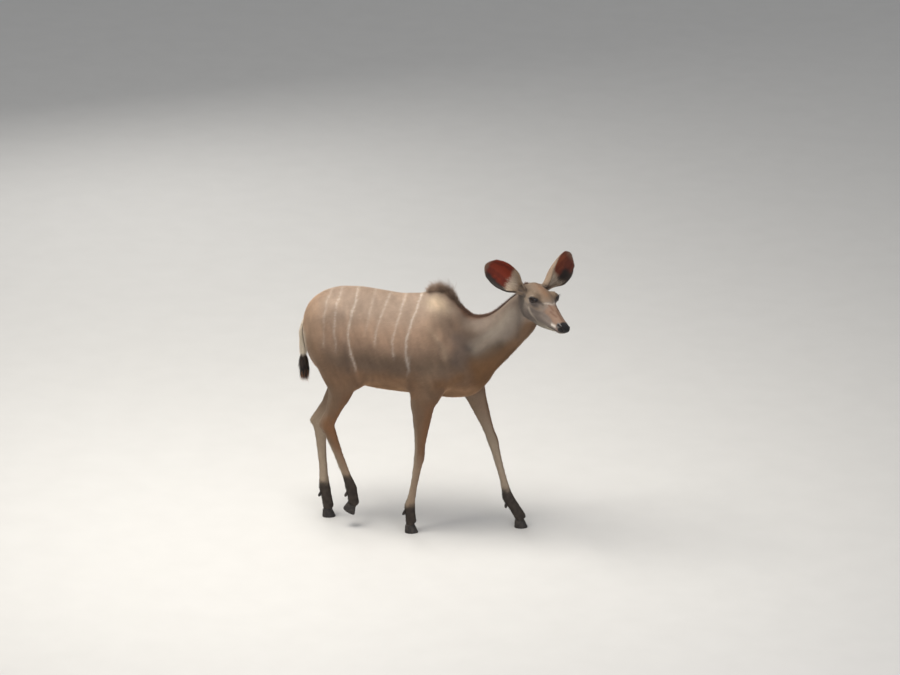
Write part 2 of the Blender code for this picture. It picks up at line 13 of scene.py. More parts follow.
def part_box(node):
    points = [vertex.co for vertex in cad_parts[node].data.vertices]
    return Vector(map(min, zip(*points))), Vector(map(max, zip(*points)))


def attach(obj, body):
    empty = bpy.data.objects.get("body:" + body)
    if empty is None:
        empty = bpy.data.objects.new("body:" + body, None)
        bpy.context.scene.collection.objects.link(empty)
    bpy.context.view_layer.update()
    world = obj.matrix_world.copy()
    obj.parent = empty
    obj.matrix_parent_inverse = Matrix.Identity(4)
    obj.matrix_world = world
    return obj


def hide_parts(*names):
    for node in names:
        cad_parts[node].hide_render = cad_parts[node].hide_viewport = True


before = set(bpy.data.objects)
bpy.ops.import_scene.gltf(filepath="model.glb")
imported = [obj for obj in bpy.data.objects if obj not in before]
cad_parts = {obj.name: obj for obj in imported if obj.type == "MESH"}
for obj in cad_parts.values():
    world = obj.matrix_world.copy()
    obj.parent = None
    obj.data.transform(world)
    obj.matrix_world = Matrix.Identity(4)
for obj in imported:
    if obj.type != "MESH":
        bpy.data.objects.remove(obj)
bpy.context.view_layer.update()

MM = 0.001
MIDLINE = 0.0543  # the trunk's middle plane
LEGS = ("leg_front_left", "leg_front_right", "leg_hind_left", "leg_hind_right")
EARS = ("ear_left", "ear_right")
FLESH = ("trunk", "neck", "head") + LEGS
SKIN_STANDS_FOR = FLESH + EARS + ("tail",)
EYES = ("eye_left", "eye_right")

SIDES = ("left", "right")
CLAWS = [f"claw_{end}_{side}_{half}" for end in ("front", "hind") for side in SIDES for half in SIDES]
DEW_CLAWS = [f"dew{node}" for node in CLAWS]

VOXEL = 7.5 * MM  # fineness of the skin before the head is made finer
PUFF = 1.0 * MM  # closes the thin cuts between the solids of flesh
PATCH = 0.003  # the side of a tuft's patch on the unwrap of the skin

# How far the skin lies under the coat's outline, in mm.
COAT_DEPTH = {"body": 3.6, "head": 1.4, "leg": 1.8, "foot": 1.0}

EYE_BALL = 20.1 * MM
LID = 1.7 * MM
LID_DOME = EYE_BALL + LID + 1.0 * MM  # before the coat's depth is taken off
LID_HALF_LENGTH = 19.4 * MM
UPPER_LID = 10.8 * MM
LOWER_LID = 9.4 * MM
EYE_LOOKS = (0.42, 0.89, 0.12)  # in the head's frame, for the left eye
EYE_TILT = -25.0  # degrees; a minus raises the eye's front corner from the line of the face


# ---------------------------------------------------------------- small tools

def smooth_step(values, start, end):
    """0 before start, 1 after end, and an even turn between them; start may be the larger."""
    share = np.clip((values - start) / (end - start), 0.0, 1.0)
    return share * share * (3.0 - 2.0 * share)


def hump(values, centre, half_width):
    return np.exp(-(((values - centre) / half_width) ** 2))


def around(distance, reach, power=2):
    """1 on a line and fading away from it; a higher power gives a firmer edge."""
    return np.exp(-((distance / reach) ** power))


def lengths_of(vectors):
    return np.sqrt((vectors * vectors).sum(-1))


def unit(vectors):
    return vectors / np.maximum(lengths_of(vectors), 1e-9)[..., None]


def mixed(first, second, share):
    return first + (second - first) * np.asarray(share)[..., None]


def distance_to_line(points, line):
    """The distance from each point to a line of straight stretches."""
    nearest = np.full(len(points), 1e9)
    line = np.asarray(line, float)
    for start, end in zip(line[:-1], line[1:]):
        way = end - start
        share = np.clip(((points - start) @ way) / max(way @ way, 1e-12), 0.0, 1.0)
        nearest = np.minimum(nearest, lengths_of(points - start - share[:, None] * way))
    return nearest


def distance_seen_along(points, line, way):
    """The distance to a line as it looks along a way, however deep the points lie."""
    way = unit(np.asarray(way, float))
    line = np.asarray(line, float)
    return distance_to_line(points - np.outer(points @ way, way), line - np.outer(line @ way, way))


def cloudy(points, size, seed=0.0):
    """Soft noise from -1 to 1, with spots of about the given size in metres."""
    shift = Vector((seed * 7.3, seed * 3.1, seed * 5.7))
    return np.array([noise.noise(Vector(p) / size + shift) for p in points])


def centre_of(node):
    low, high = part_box(node)
    return (low + high) / 2


def placed(name, data):
    obj = bpy.data.objects.new(name, data)
    bpy.context.collection.objects.link(obj)
    return obj


def object_of(name, bm, *materials):
    mesh = bpy.data.meshes.new(name)
    bm.to_mesh(mesh)
    bm.free()
    for material in materials:
        mesh.materials.append(material)
    mesh.shade_smooth()
    return placed(name, mesh)


def give_finish(mesh, material):
    mesh.materials.clear()
    mesh.materials.append(material)
    mesh.shade_smooth()


def applied(obj):
    """Makes the modifiers' result the object's own mesh."""
    graph = bpy.context.evaluated_depsgraph_get()
    made = bpy.data.meshes.new_from_object(obj.evaluated_get(graph))
    obj.modifiers.clear()
    obj.data = made
    return obj


def places_of(mesh):
    found = np.empty(len(mesh.vertices) * 3)
    mesh.vertices.foreach_get("co", found)
    return found.reshape(-1, 3)


def set_places(mesh, points):
    mesh.vertices.foreach_set("co", np.asarray(points, np.float32).ravel())
    mesh.update()


def normals_of(mesh):
    found = np.empty(len(mesh.vertices) * 3, np.float32)
    mesh.vertex_normals.foreach_get("vector", found)
    return found.reshape(-1, 3).astype(float)


def edges_of(mesh):
    found = np.empty(len(mesh.edges) * 2, np.int32)
    mesh.edges.foreach_get("vertices", found)
    return found.reshape(-1, 2)


def relaxed(values, edges, times, share=0.5):
    """Each vertex's value drifts towards its neighbours' mean, by one share or by one for each vertex."""
    count = len(values)
    ends = np.concatenate([edges[:, 0], edges[:, 1]])
    others = np.concatenate([edges[:, 1], edges[:, 0]])
    neighbours = np.maximum(np.bincount(ends, minlength=count), 1)
    flat = values.reshape(count, -1).astype(float)
    share = np.broadcast_to(np.asarray(share, float), (count,))[:, None]
    for _ in range(times):
        mean = np.stack([np.bincount(ends, column[others], minlength=count) for column in flat.T], 1)
        flat = flat + share * (mean / neighbours[:, None] - flat)
    return flat.reshape(values.shape)


def evened(points, edges, times, share):
    """Takes out small flats and keeps the larger forms, which plain relaxing would shrink."""
    once = relaxed(points, edges, times, share)
    return once + relaxed(points - once, edges, times, share)


# ------------------------------------------------------------- the head's frame

RIGHT_EYE = centre_of("eye_right")
LEFT_EYE = centre_of("eye_left")
HEAD_LEFT = (LEFT_EYE - RIGHT_EYE).normalized()
LOOKS = Vector((0.637, -0.720, -0.276))  # roughly the way the muzzle points
HEAD_FORWARD = (LOOKS - HEAD_LEFT * LOOKS.dot(HEAD_LEFT)).normalized()
HEAD_UP = HEAD_FORWARD.cross(HEAD_LEFT)
EYE_HEIGHT = 10.0 * MM  # of the eyes over the head's own axis
HEAD_TURN = Matrix((HEAD_FORWARD, HEAD_LEFT, HEAD_UP)).transposed()
HEAD_PLACE = (LEFT_EYE + RIGHT_EYE) / 2 - HEAD_UP * EYE_HEIGHT
HEAD_AXES = np.array(HEAD_TURN)


def in_head(points):
    """Points in the head's frame: x to the muzzle, y to the animal's left, z up."""
    return (points - np.array(HEAD_PLACE)) @ HEAD_AXES


def from_head(x, y, z):
    return HEAD_PLACE + HEAD_TURN @ Vector((x, y, z))


# ------------------------------------------------------------------- the flesh

# Middle and radius of the tail's own flesh, root to tip; its brush is hair.
DOCK = (
    (-0.560, 0.0543, 1.045, 0.023),
    (-0.592, 0.0543, 1.020, 0.020),
    (-0.618, 0.0543, 0.990, 0.017),
    (-0.633, 0.0550, 0.945, 0.0135),
    (-0.639, 0.0563, 0.880, 0.0115),
    (-0.638, 0.0573, 0.820, 0.0100),
    (-0.636, 0.0575, 0.780, 0.0095),
    (-0.635, 0.0580, 0.748, 0.0080),
)


def loft(bm, rows):
    """Rings of vertices along rows of middle and radius, bridged and closed at both ends."""
    rings = []
    middles = [Vector(row[:3]) for row in rows]
    for k, row in enumerate(rows):
        way = middles[min(k + 1, len(rows) - 1)] - middles[max(k - 1, 0)]
        place = Matrix.Translation(middles[k]) @ way.to_track_quat("Z", "Y").to_matrix().to_4x4()
        made = bmesh.ops.create_circle(bm, cap_ends=False, segments=20, radius=row[3], matrix=place)
        rings.append(list(dict.fromkeys(e for v in made["verts"] for e in v.link_edges)))
    for first, second in zip(rings, rings[1:]):
        bmesh.ops.bridge_loops(bm, edges=first + second)
    for ring in (rings[0], rings[-1]):
        bmesh.ops.edgeloop_fill(bm, edges=ring)
    bmesh.ops.recalc_face_normals(bm, faces=bm.faces)


def fused_flesh():
    """Copies of the solids of flesh, puffed until they meet, with the tail's core and the domes of the lids,
    as one fine closed mesh."""
    bm = bmesh.new()
    for node in FLESH:
        bm.from_mesh(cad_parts[node].data)
    bmesh.ops.remove_doubles(bm, verts=bm.verts, dist=0.02 * MM)
    bm.normal_update()
    for vert in bm.verts:
        vert.co += vert.normal * PUFF
    added = bmesh.new()
    loft(added, DOCK)
    for node in EYES:
        dome = Matrix.Translation(centre_of(node))
        bmesh.ops.create_icosphere(added, subdivisions=4, radius=LID_DOME, matrix=dome)
    core = bpy.data.meshes.new("core")
    added.to_mesh(core)
    added.free()
    bm.from_mesh(core)
    flesh = object_of("skin", bm)
    remesh = flesh.modifiers.new("remesh", "REMESH")
    remesh.mode = "VOXEL"
    remesh.voxel_size = VOXEL
    return applied(flesh)


def node_trees(nodes):
    """A search tree of each node's surface, from its own mesh."""
    trees = {}
    for node in nodes:
        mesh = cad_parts[node].data
        trees[node] = BVHTree.FromPolygons(
            [v.co for v in mesh.vertices], [tuple(p.vertices) for p in mesh.polygons]
        )
    return trees


def distance_to_nodes(points, nodes, reach):
    """The distance from each point to the nearest of some nodes' surfaces, up to a reach."""
    far = np.full(len(points), reach)
    for node, tree in node_trees(nodes).items():
        low, high = (np.array(corner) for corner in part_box(node))
        close = np.where(((points > low - reach) & (points < high + reach)).all(1))[0]
        for k in close:
            hit = tree.find_nearest(Vector(points[k]), reach)
            if hit[0] is not None:
                far[k] = min(far[k], hit[3])
    return far


def on_legs(shares):
    return np.clip(sum(shares[leg] for leg in LEGS), 0, 1)


def shares_of_nodes(mesh, nodes, times):
    """How far each vertex belongs to each node: 1 on it, 0 elsewhere, soft where two meet."""
    points = places_of(mesh)
    far = np.stack([distance_to_nodes(points, (node,), 0.08) for node in nodes])
    nearest = far.argmin(0)
    whole = np.stack([(nearest == row).astype(float) for row in range(len(nodes))], 1)
    soft = relaxed(whole, edges_of(mesh), times)
    return dict(zip(nodes, soft.T))


# Folds and swellings of the flesh: a line, its width and how far it stands out or sinks in, both in mm. Those
# of the trunk and the neck are the same on both sides, at a distance from the middle plane.
TRUNK_FORMS = (
    ("top of the shoulder blade", ((0.000, 0.055, 1.128), (0.030, 0.050, 1.118)), 26, 5.0),
    ("spine of the shoulder blade", ((0.012, 0.072, 1.095), (0.048, 0.115, 0.985)), 16, 2.4),
    ("hollow before it", ((0.050, 0.078, 1.080), (0.082, 0.110, 0.985)), 20, -1.6),
    ("hollow behind it", ((-0.050, 0.085, 1.085), (-0.050, 0.135, 0.960)), 22, -2.5),
    ("point of the shoulder", ((0.070, 0.120, 0.915), (0.060, 0.130, 0.885)), 24, 3.0),
    ("edge of the upper arm", ((0.020, 0.135, 0.930), (-0.058, 0.130, 0.820)), 15, 3.0),
    ("fold at the elbow", ((-0.080, 0.165, 0.930), (-0.098, 0.155, 0.850), (-0.085, 0.140, 0.775)), 12, -4.5),
    ("fold of the neck", ((0.094, 0.105, 1.030), (0.074, 0.118, 0.955), (0.062, 0.125, 0.870)), 13, -2.5),
    ("hip bone", ((-0.375, 0.112, 1.060), (-0.355, 0.120, 1.045)), 20, 4.5),
    ("hollow before the hip", ((-0.322, 0.120, 1.035), (-0.290, 0.125, 1.010)), 26, -3.5),
    (
        "fold of the flank",
        ((-0.392, 0.150, 0.965), (-0.377, 0.155, 0.905), (-0.352, 0.152, 0.825), (-0.338, 0.145, 0.760)),
        14, -5.5,
    ),
    ("front of the thigh", ((-0.425, 0.150, 0.960), (-0.400, 0.152, 0.860), (-0.375, 0.145, 0.775)), 17, 3.0),
    ("thigh's groove", ((-0.520, 0.120, 1.010), (-0.515, 0.135, 0.900), (-0.490, 0.130, 0.800)), 15, -3.0),
    ("pin bone", ((-0.588, 0.050, 1.020), (-0.580, 0.058, 1.005)), 16, 4.0),
    ("edge of the ribs", ((-0.270, 0.160, 0.960), (-0.215, 0.160, 0.870), (-0.150, 0.140, 0.790)), 20, 2.0),
)
RIBS = 7
FIRST_RIB = -0.120
RIB_STEP = 0.033

NECK_FORMS = (
    ("groove of the neck", ((0.330, 0.045, 1.060), (0.255, 0.075, 1.000), (0.175, 0.100, 0.925)), 15, -4.0),
    ("long neck muscle", ((0.360, 0.030, 1.105), (0.270, 0.055, 1.050), (0.180, 0.080, 1.000)), 20, 3.0),
    ("windpipe", ((0.420, 0.010, 1.040), (0.340, 0.020, 0.930), (0.260, 0.025, 0.830)), 20, 2.5),
)

# For each leg, the top and the foot of its shin as x and height, and its y. The hollows between bone and
# sinew run down both its sides.
SHINS = {
    "leg_front_left": ((0.250, 0.385), (0.292, 0.160), 0.148),
    "leg_front_right": ((-0.080, 0.360), (-0.118, 0.150), -0.037),
    "leg_hind_left": ((-0.568, 0.430), (-0.556, 0.165), 0.106),
    "leg_hind_right": ((-0.475, 0.470), (-0.402, 0.240), -0.030),
}

# The head's, in its own frame, the same on both sides.
HEAD_FORMS = (
    ("brow", ((-0.030, 0.052, 0.029), (-0.006, 0.053, 0.037), (0.024, 0.047, 0.034)), 9, 1.2),
    ("bed of the eye", ((-0.030, 0.060, -0.010), (0.000, 0.062, -0.019), (0.030, 0.052, -0.012)), 7, -1.6),
    ("hollow before the eye", ((0.036, 0.048, 0.004), (0.058, 0.040, -0.006)), 9, -2.6),
    ("cheek bone", ((0.050, 0.046, -0.024), (0.000, 0.062, -0.030), (-0.060, 0.060, -0.026)), 8, 2.6),
    ("temple", ((-0.058, 0.044, 0.020), (-0.080, 0.048, 0.006)), 13, -3.0),
    ("jaw muscle", ((-0.012, 0.060, -0.050), (0.004, 0.050, -0.084), (-0.020, 0.040, -0.108)), 9, 2.6),
    ("hollow before it", ((0.026, 0.050, -0.046), (0.032, 0.042, -0.078)), 11, -3.4),
    ("angle of the jaw", ((-0.096, 0.050, -0.070), (-0.072, 0.044, -0.096)), 12, 2.4),
    ("edge of the nose bone", ((0.040, 0.027, 0.024), (0.100, 0.022, 0.012), (0.160, 0.019, 0.000)), 7, 1.8),
    ("hollow of the muzzle", ((0.070, 0.040, -0.030), (0.130, 0.033, -0.030)), 12, -2.6),
    ("vein of the face", ((0.052, 0.046, -0.058), (0.076, 0.042, -0.034), (0.094, 0.034, -0.012)), 3, 0.9),
    ("upper lip", ((0.204, 0.020, -0.036), (0.178, 0.034, -0.040), (0.140, 0.038, -0.046)), 6, 1.4),
    ("lower lip", ((0.198, 0.014, -0.052), (0.168, 0.028, -0.056), (0.132, 0.034, -0.062)), 6, 1.6),
    ("crown between the ears", ((-0.095, 0.000, 0.030), (-0.060, 0.000, 0.044)), 20, 3.0),
)
MOUTH = (
    (0.214, 0.000, -0.043), (0.206, 0.018, -0.043), (0.186, 0.031, -0.046),
    (0.150, 0.037, -0.053), (0.118, 0.041, -0.060),
)
NOSTRIL = ((0.211, 0.012, -0.030), (0.206, 0.019, -0.020), (0.194, 0.026, -0.014), (0.182, 0.028, -0.016))
ACROSS = (0.0, 1.0, 0.0)  # the way across the head
NOSTRIL_FACES = (0.70, 0.71, 0.05)
LIP_CLEFT = ((0.222, 0.000, -0.022), (0.218, 0.000, -0.040))


def mirrored(points, middle=0.0):
    """Folds both sides of the middle plane onto the left one."""
    folded = points.copy()
    folded[:, 1] = np.abs(folded[:, 1] - middle)
    return folded


def swell(points, line, width, height):
    return height * MM * around(distance_to_line(points, line), width * MM)


def swollen(points, forms):
    return sum(swell(points, line, width, height) for _, line, width, height in forms)


def body_relief(points):
    """How far the folds, bones and sinews of the body lift or sink each point of the skin."""
    folded = mirrored(points, MIDLINE)
    lift = swollen(folded, TRUNK_FORMS + NECK_FORMS)
    for k in range(RIBS):
        x = FIRST_RIB - RIB_STEP * k
        rib = ((x + 0.020, 0.125, 1.030), (x, 0.165, 0.950), (x + 0.014, 0.160, 0.860))
        lift = lift + swell(folded, rib, 9, 0.9)
    for (top_x, top_z), (low_x, low_z), y in SHINS.values():
        for side in (-0.020, 0.020):
            hollow = ((top_x - 0.008, y + side, top_z), (low_x - 0.008, y + side, low_z))
            lift = lift + swell(points, hollow, 6, -1.8)
    return lift


def head_relief(points):
    folded = mirrored(in_head(points))
    lift = swollen(folded, HEAD_FORMS)
    on_muzzle = smooth_step(folded[:, 0], 0.10, 0.125)
    mouth = distance_seen_along(folded, MOUTH, ACROSS)
    lift = lift - 2.6 * MM * around(mouth, 2.4 * MM) * on_muzzle
    nostril = distance_seen_along(folded, NOSTRIL, NOSTRIL_FACES)
    lift = lift + (1.6 * around(nostril, 7.0 * MM) - 7.5 * around(nostril, 3.4 * MM)) * MM * on_muzzle
    return lift + swell(folded, LIP_CLEFT, 1.8, -1.8)


def make_finer(obj, near):
    """Halves the faces whose middle is near enough, and leaves the rest as they are."""
    bm = bmesh.new()
    bm.from_mesh(obj.data)
    chosen = near(np.array([face.calc_center_median() for face in bm.faces]))
    edges = dict.fromkeys(edge for face, take in zip(bm.faces, chosen) if take for edge in face.edges)
    bmesh.ops.subdivide_edges(bm, edges=list(edges), cuts=1, use_grid_fill=True)
    bm.to_mesh(obj.data)
    bm.free()


def near_head(points, start=-0.140):
    x, y, z = mirrored(in_head(points)).T
    return (x > start) & (x < 0.25) & (y < 0.11) & (z > -0.145)


def near_muzzle(points):
    return near_head(points, start=0.105)


def eye_frame(node):
    """The middle of an eye, the way it looks, and the ways to the muzzle and up across it."""
    side = 1.0 if node.endswith("left") else -1.0
    looks = (HEAD_TURN @ Vector((EYE_LOOKS[0], side * EYE_LOOKS[1], EYE_LOOKS[2]))).normalized()
    along = (HEAD_FORWARD - looks * HEAD_FORWARD.dot(looks)).normalized()
    over = looks.cross(along)
    if over.dot(HEAD_UP) < 0:
        over = -over
    tilt = Matrix.Rotation(math.radians(EYE_TILT) * side, 3, looks)
    return np.array(centre_of(node)), np.array(looks), np.array(tilt @ along), np.array(tilt @ over)


def near_eyes(points, reach=0.032):
    return np.any([lengths_of(points - eye_frame(node)[0]) < reach for node in EYES], 0)


def eye_places(points, node):
    """Across an eye: how far to the muzzle, up and out each point is, and how far outside the lids' edge."""
    middle, looks, along, over = eye_frame(node)
    way = points - middle
    a, b, out = way @ along, way @ over, way @ looks
    opening = np.where(b > 0, UPPER_LID, LOWER_LID)
    power = 1.65
    level = ((np.abs(a) / LID_HALF_LENGTH) ** power + (np.abs(b) / opening) ** power) ** (1 / power)
    across = np.sqrt(a * a + b * b)
    outside = across * (1 - 1 / np.maximum(level, 0.05))
    return a, b, out, across, outside


def cut_lids(points):
    """Draws the skin over the eyeballs and opens it between the lids."""
    for node in EYES:
        looks = eye_frame(node)[1]
        _, b, out, across, outside = eye_places(points, node)
        ball = np.sqrt(np.maximum(EYE_BALL ** 2 - across ** 2, 0.0))
        lid = np.sqrt(np.maximum((EYE_BALL + LID) ** 2 - across ** 2, 0.0))
        front = (out > -0.004) & (across < 0.034)
        edge = 0.9 * MM * hump(outside, 1.6 * MM, 2.2 * MM) * smooth_step(b, -0.004, 0.004)
        crease = 1.6 * MM * hump(outside, 5.6 * MM, 1.5 * MM) * smooth_step(b, -0.002, 0.005)
        bag = 0.9 * MM * hump(outside, 6.0 * MM, 1.6 * MM) * smooth_step(b, -0.002, -0.006)
        moved = out + (np.maximum(lid, out) - out + edge - crease - bag) * front
        sunk = front * (1 - smooth_step(outside, -1.7 * MM, -0.2 * MM))
        moved = moved + (ball - 5.0 * MM - moved) * sunk
        points = points + np.outer(moved - out, looks)
    return points


# -------------------------------------------------------------------- the ears

EAR_LENGTH = 0.198
EAR_BULGE = 0.012  # how far the back of the ear curves away from a straight line
EAR_WALL = 3.4 * MM
EAR_RIDGES = 9.0  # radians of the ridges' wave across half the cup
EAR_PLACES = {  # root, where it points and where it opens to, in the head's frame
    "ear_right": ((-0.104, -0.068, -0.004), (-0.103, -0.166, 0.096), (0.72, -0.31, 0.58)),
    "ear_left": ((-0.100, 0.062, 0.015), (-0.072, 0.169, 0.125), (0.76, 0.31, 0.51)),
}
EAR_CUP = (  # share of the length, radius of the cup, half of its wrap in degrees
    (-0.12, 0.0165, 165),
    (0.00, 0.0215, 155),
    (0.13, 0.0320, 128),
    (0.28, 0.0490, 102),
    (0.46, 0.0590, 86),
    (0.64, 0.0650, 71),
    (0.82, 0.0640, 54),
    (0.94, 0.0580, 52),
    (1.00, 0.0500, 46),
)
ACROSS_STEPS = 34
ALONG_STEPS = 60


def between_rows(shares, rows, column):
    """A smooth curve through one column of a table of rows."""
    table = np.array(rows, float)
    at, values = table[:, 0], table[:, column]
    slopes = np.gradient(values, at)
    shares = np.clip(shares, at[0], at[-1])
    k = np.clip(np.searchsorted(at, shares) - 1, 0, len(at) - 2)
    gap = at[k + 1] - at[k]
    t = (shares - at[k]) / gap
    return (
        (2 * t ** 3 - 3 * t ** 2 + 1) * values[k]
        + (t ** 3 - 2 * t ** 2 + t) * gap * slopes[k]
        + (3 * t ** 2 - 2 * t ** 3) * values[k + 1]
        + (t ** 3 - t ** 2) * gap * slopes[k + 1]
    )


def ear_frame(node):
    """Where an ear starts, the ways along it, out of its cup and across it."""
    root, points_to, opens_to = (Vector(v) for v in EAR_PLACES[node])
    along = (HEAD_TURN @ points_to).normalized()
    front = HEAD_TURN @ opens_to
    front = (front - along * front.dot(along)).normalized()
    return np.array(from_head(*root)), np.array(along), np.array(front), np.array(along.cross(front))


def ear_middle(share):
    """How far the cup's axis stands in front of the ear's root line."""
    return between_rows(share, EAR_CUP, 1) - EAR_BULGE * np.sin(math.pi * np.clip(share, 0, 1)) - 0.005


def ear_places(points, node):
    """For points near an ear: the share of its length, the place across it from -1 to 1 with the lower rim
    at 1, and how far inside its cup they are."""
    base, along, front, side = ear_frame(node)
    way = points - base
    share = (way @ along) / EAR_LENGTH
    out = way @ front - ear_middle(share)
    over = way @ side
    radius = between_rows(share, EAR_CUP, 1)
    wrap = np.radians(between_rows(share, EAR_CUP, 2))
    across = np.arctan2(over, -out) / np.maximum(wrap, 0.05)
    if node.endswith("right"):
        across = -across
    return share, across, radius - np.hypot(out, over)


def ear_shell(node):
    """A sheet rolled into a leaf-shaped cup, with the ridges inside it, and given its thickness."""
    base, along, front, side = ear_frame(node)
    bm = bmesh.new()
    bmesh.ops.create_grid(bm, x_segments=ACROSS_STEPS, y_segments=ALONG_STEPS, size=0.5)
    sheet = np.array([v.co for v in bm.verts])
    first, last = EAR_CUP[0][0], EAR_CUP[-1][0]
    share = last - (last - first) * (0.5 - sheet[:, 1]) ** 1.6  # rows crowd towards the rounded tip
    across = sheet[:, 0] * 2
    radius = between_rows(share, EAR_CUP, 1)
    tip = np.sqrt(np.clip((1.0005 - share) / 0.16, 0.0, 1.0))
    angle = np.radians(between_rows(share, EAR_CUP, 2)) * across * tip
    ridges = 0.9 * MM * np.cos(across * EAR_RIDGES)
    ridges = ridges * smooth_step(share, 0.05, 0.30) * (1 - smooth_step(share, 0.6, 0.95))
    curl = 1.6 * MM * smooth_step(np.abs(across), 0.86, 1.0)
    reach = radius - ridges - curl
    places = (
        base
        + np.outer(EAR_LENGTH * share, along)
        + np.outer(ear_middle(share) - reach * np.cos(angle), front)
        + np.outer(reach * np.sin(angle), side)
    )
    for vert, place in zip(bm.verts, places):
        vert.co = place
    bmesh.ops.recalc_face_normals(bm, faces=bm.faces)
    cup_normal = sum((f.normal for f in bm.faces), Vector())
    if cup_normal.dot(Vector(front)) < 0:
        bmesh.ops.reverse_faces(bm, faces=bm.faces)
    for vert in bm.verts:
        vert.co += vert.normal * EAR_WALL / 2
    bmesh.ops.solidify(bm, geom=list(bm.faces), thickness=EAR_WALL)
    bmesh.ops.recalc_face_normals(bm, faces=bm.faces)
    return bm


# -------------------------------------------------------------------- the skin

def lay_in(skin):
    """Sinks the flesh by the depth of the coat, evens it out and gives it its folds and bones."""
    mesh = skin.data
    edges = edges_of(mesh)
    shares = shares_of_nodes(mesh, FLESH + ("tail",), 12)
    points = places_of(mesh)
    legs = sum(shares[leg] for leg in LEGS)
    low = 1 - smooth_step(points[:, 2], 0.42, 0.66)
    evenness = 0.10 + 0.42 * (shares["trunk"] + shares["neck"]) + 0.10 * legs * (1 - low)
    points = evened(points, edges, 7, evenness)
    points = evened(points, edges, 30, 0.5 * smooth_step(evenness, 0.30, 0.50))
    set_places(mesh, points)
    depth = COAT_DEPTH["body"] * (shares["trunk"] + shares["neck"]) + COAT_DEPTH["head"] * shares["head"]
    depth = depth + legs * (COAT_DEPTH["leg"] + (COAT_DEPTH["foot"] - COAT_DEPTH["leg"]) * low)
    sink = depth * MM + PUFF * (1 - shares["tail"]) - body_relief(points)
    points = points - normals_of(mesh) * sink[:, None]
    set_places(mesh, relaxed(points, edges, 2, 0.3))


def shape_head(skin):
    """Makes the head finer, and gives it its bones, lips, nostrils and lids."""
    make_finer(skin, near_head)
    mesh = skin.data
    near = near_head(places_of(mesh))
    points = places_of(mesh)
    set_places(mesh, relaxed(points, edges_of(mesh), 5, 0.45 * near))
    make_finer(skin, near_muzzle)
    make_finer(skin, near_eyes)
    make_finer(skin, lambda points: near_eyes(points, 0.026))
    mesh = skin.data
    edges = edges_of(mesh)
    fine = near_muzzle(places_of(mesh)) | near_eyes(places_of(mesh))
    set_places(mesh, relaxed(places_of(mesh), edges, 3, 0.4 * fine))
    points = places_of(mesh)
    near = near_head(points)
    points[near] += normals_of(mesh)[near] * head_relief(points[near])[:, None]
    set_places(mesh, points)
    near = near_eyes(points, 0.040)
    points[near] = cut_lids(points[near])
    set_places(mesh, relaxed(points, edges, 1, 0.35 * near_eyes(points, 0.036)))
    points = places_of(mesh)
    rings = np.zeros(len(points))
    for node in EYES:
        *_, out, across, outside = eye_places(points, node)
        ring = smooth_step(outside, 5.5 * MM, 8.0 * MM) * (1 - smooth_step(across, 0.030, 0.040))
        rings = np.maximum(rings, ring * (out > -0.012))
    set_places(mesh, relaxed(points, edges, 12, 0.5 * rings))


def put_faces_in_order(mesh):
    """Sorts the faces by their place, since a union leaves them in an order that changes from run to run."""
    bm = bmesh.new()
    bm.from_mesh(mesh)
    bm.faces.sort(key=lambda face: face.calc_center_median().dot(Vector((1.0, 1.7, 2.9))))
    bm.to_mesh(mesh)
    bm.free()


def put_on_ears(skin):
    """Joins both ears to the head as one surface, and rounds the join and the ears' rims."""
    both = bmesh.new()
    for node in EARS:
        shell = ear_shell(node)
        part = bpy.data.meshes.new(node)
        shell.to_mesh(part)
        shell.free()
        both.from_mesh(part)
    shells = object_of("ear_shells", both)
    union = skin.modifiers.new("ears", "BOOLEAN")
    union.operation = "UNION"
    union.solver = "EXACT"
    union.object = shells
    applied(skin)
    bpy.data.objects.remove(shells)
    mesh = skin.data
    put_faces_in_order(mesh)
    points = places_of(mesh)
    roots = np.min([lengths_of(points - ear_frame(node)[0]) for node in EARS], 0)
    local = in_head(points)
    ears = (np.abs(local[:, 1]) > 0.075) & (local[:, 0] < -0.03)
    soft = 0.45 * (1 - smooth_step(roots, 0.030, 0.055)) + 0.22 * ears
    set_places(mesh, relaxed(points, edges_of(mesh), 6, np.minimum(soft, 0.5)))


def unwrap(obj):
    """Lays the skin out flat by its own shape, for the coat's roots to share."""
    bpy.context.view_layer.objects.active = obj
    obj.select_set(True)
    obj.data.uv_layers.new(name="OFBake")
    bpy.ops.object.mode_set(mode="EDIT")
    bpy.ops.mesh.select_all(action="SELECT")
    bpy.ops.uv.smart_project(angle_limit=math.radians(66), island_margin=0.001)
    bpy.ops.object.mode_set(mode="OBJECT")
    obj.select_set(False)
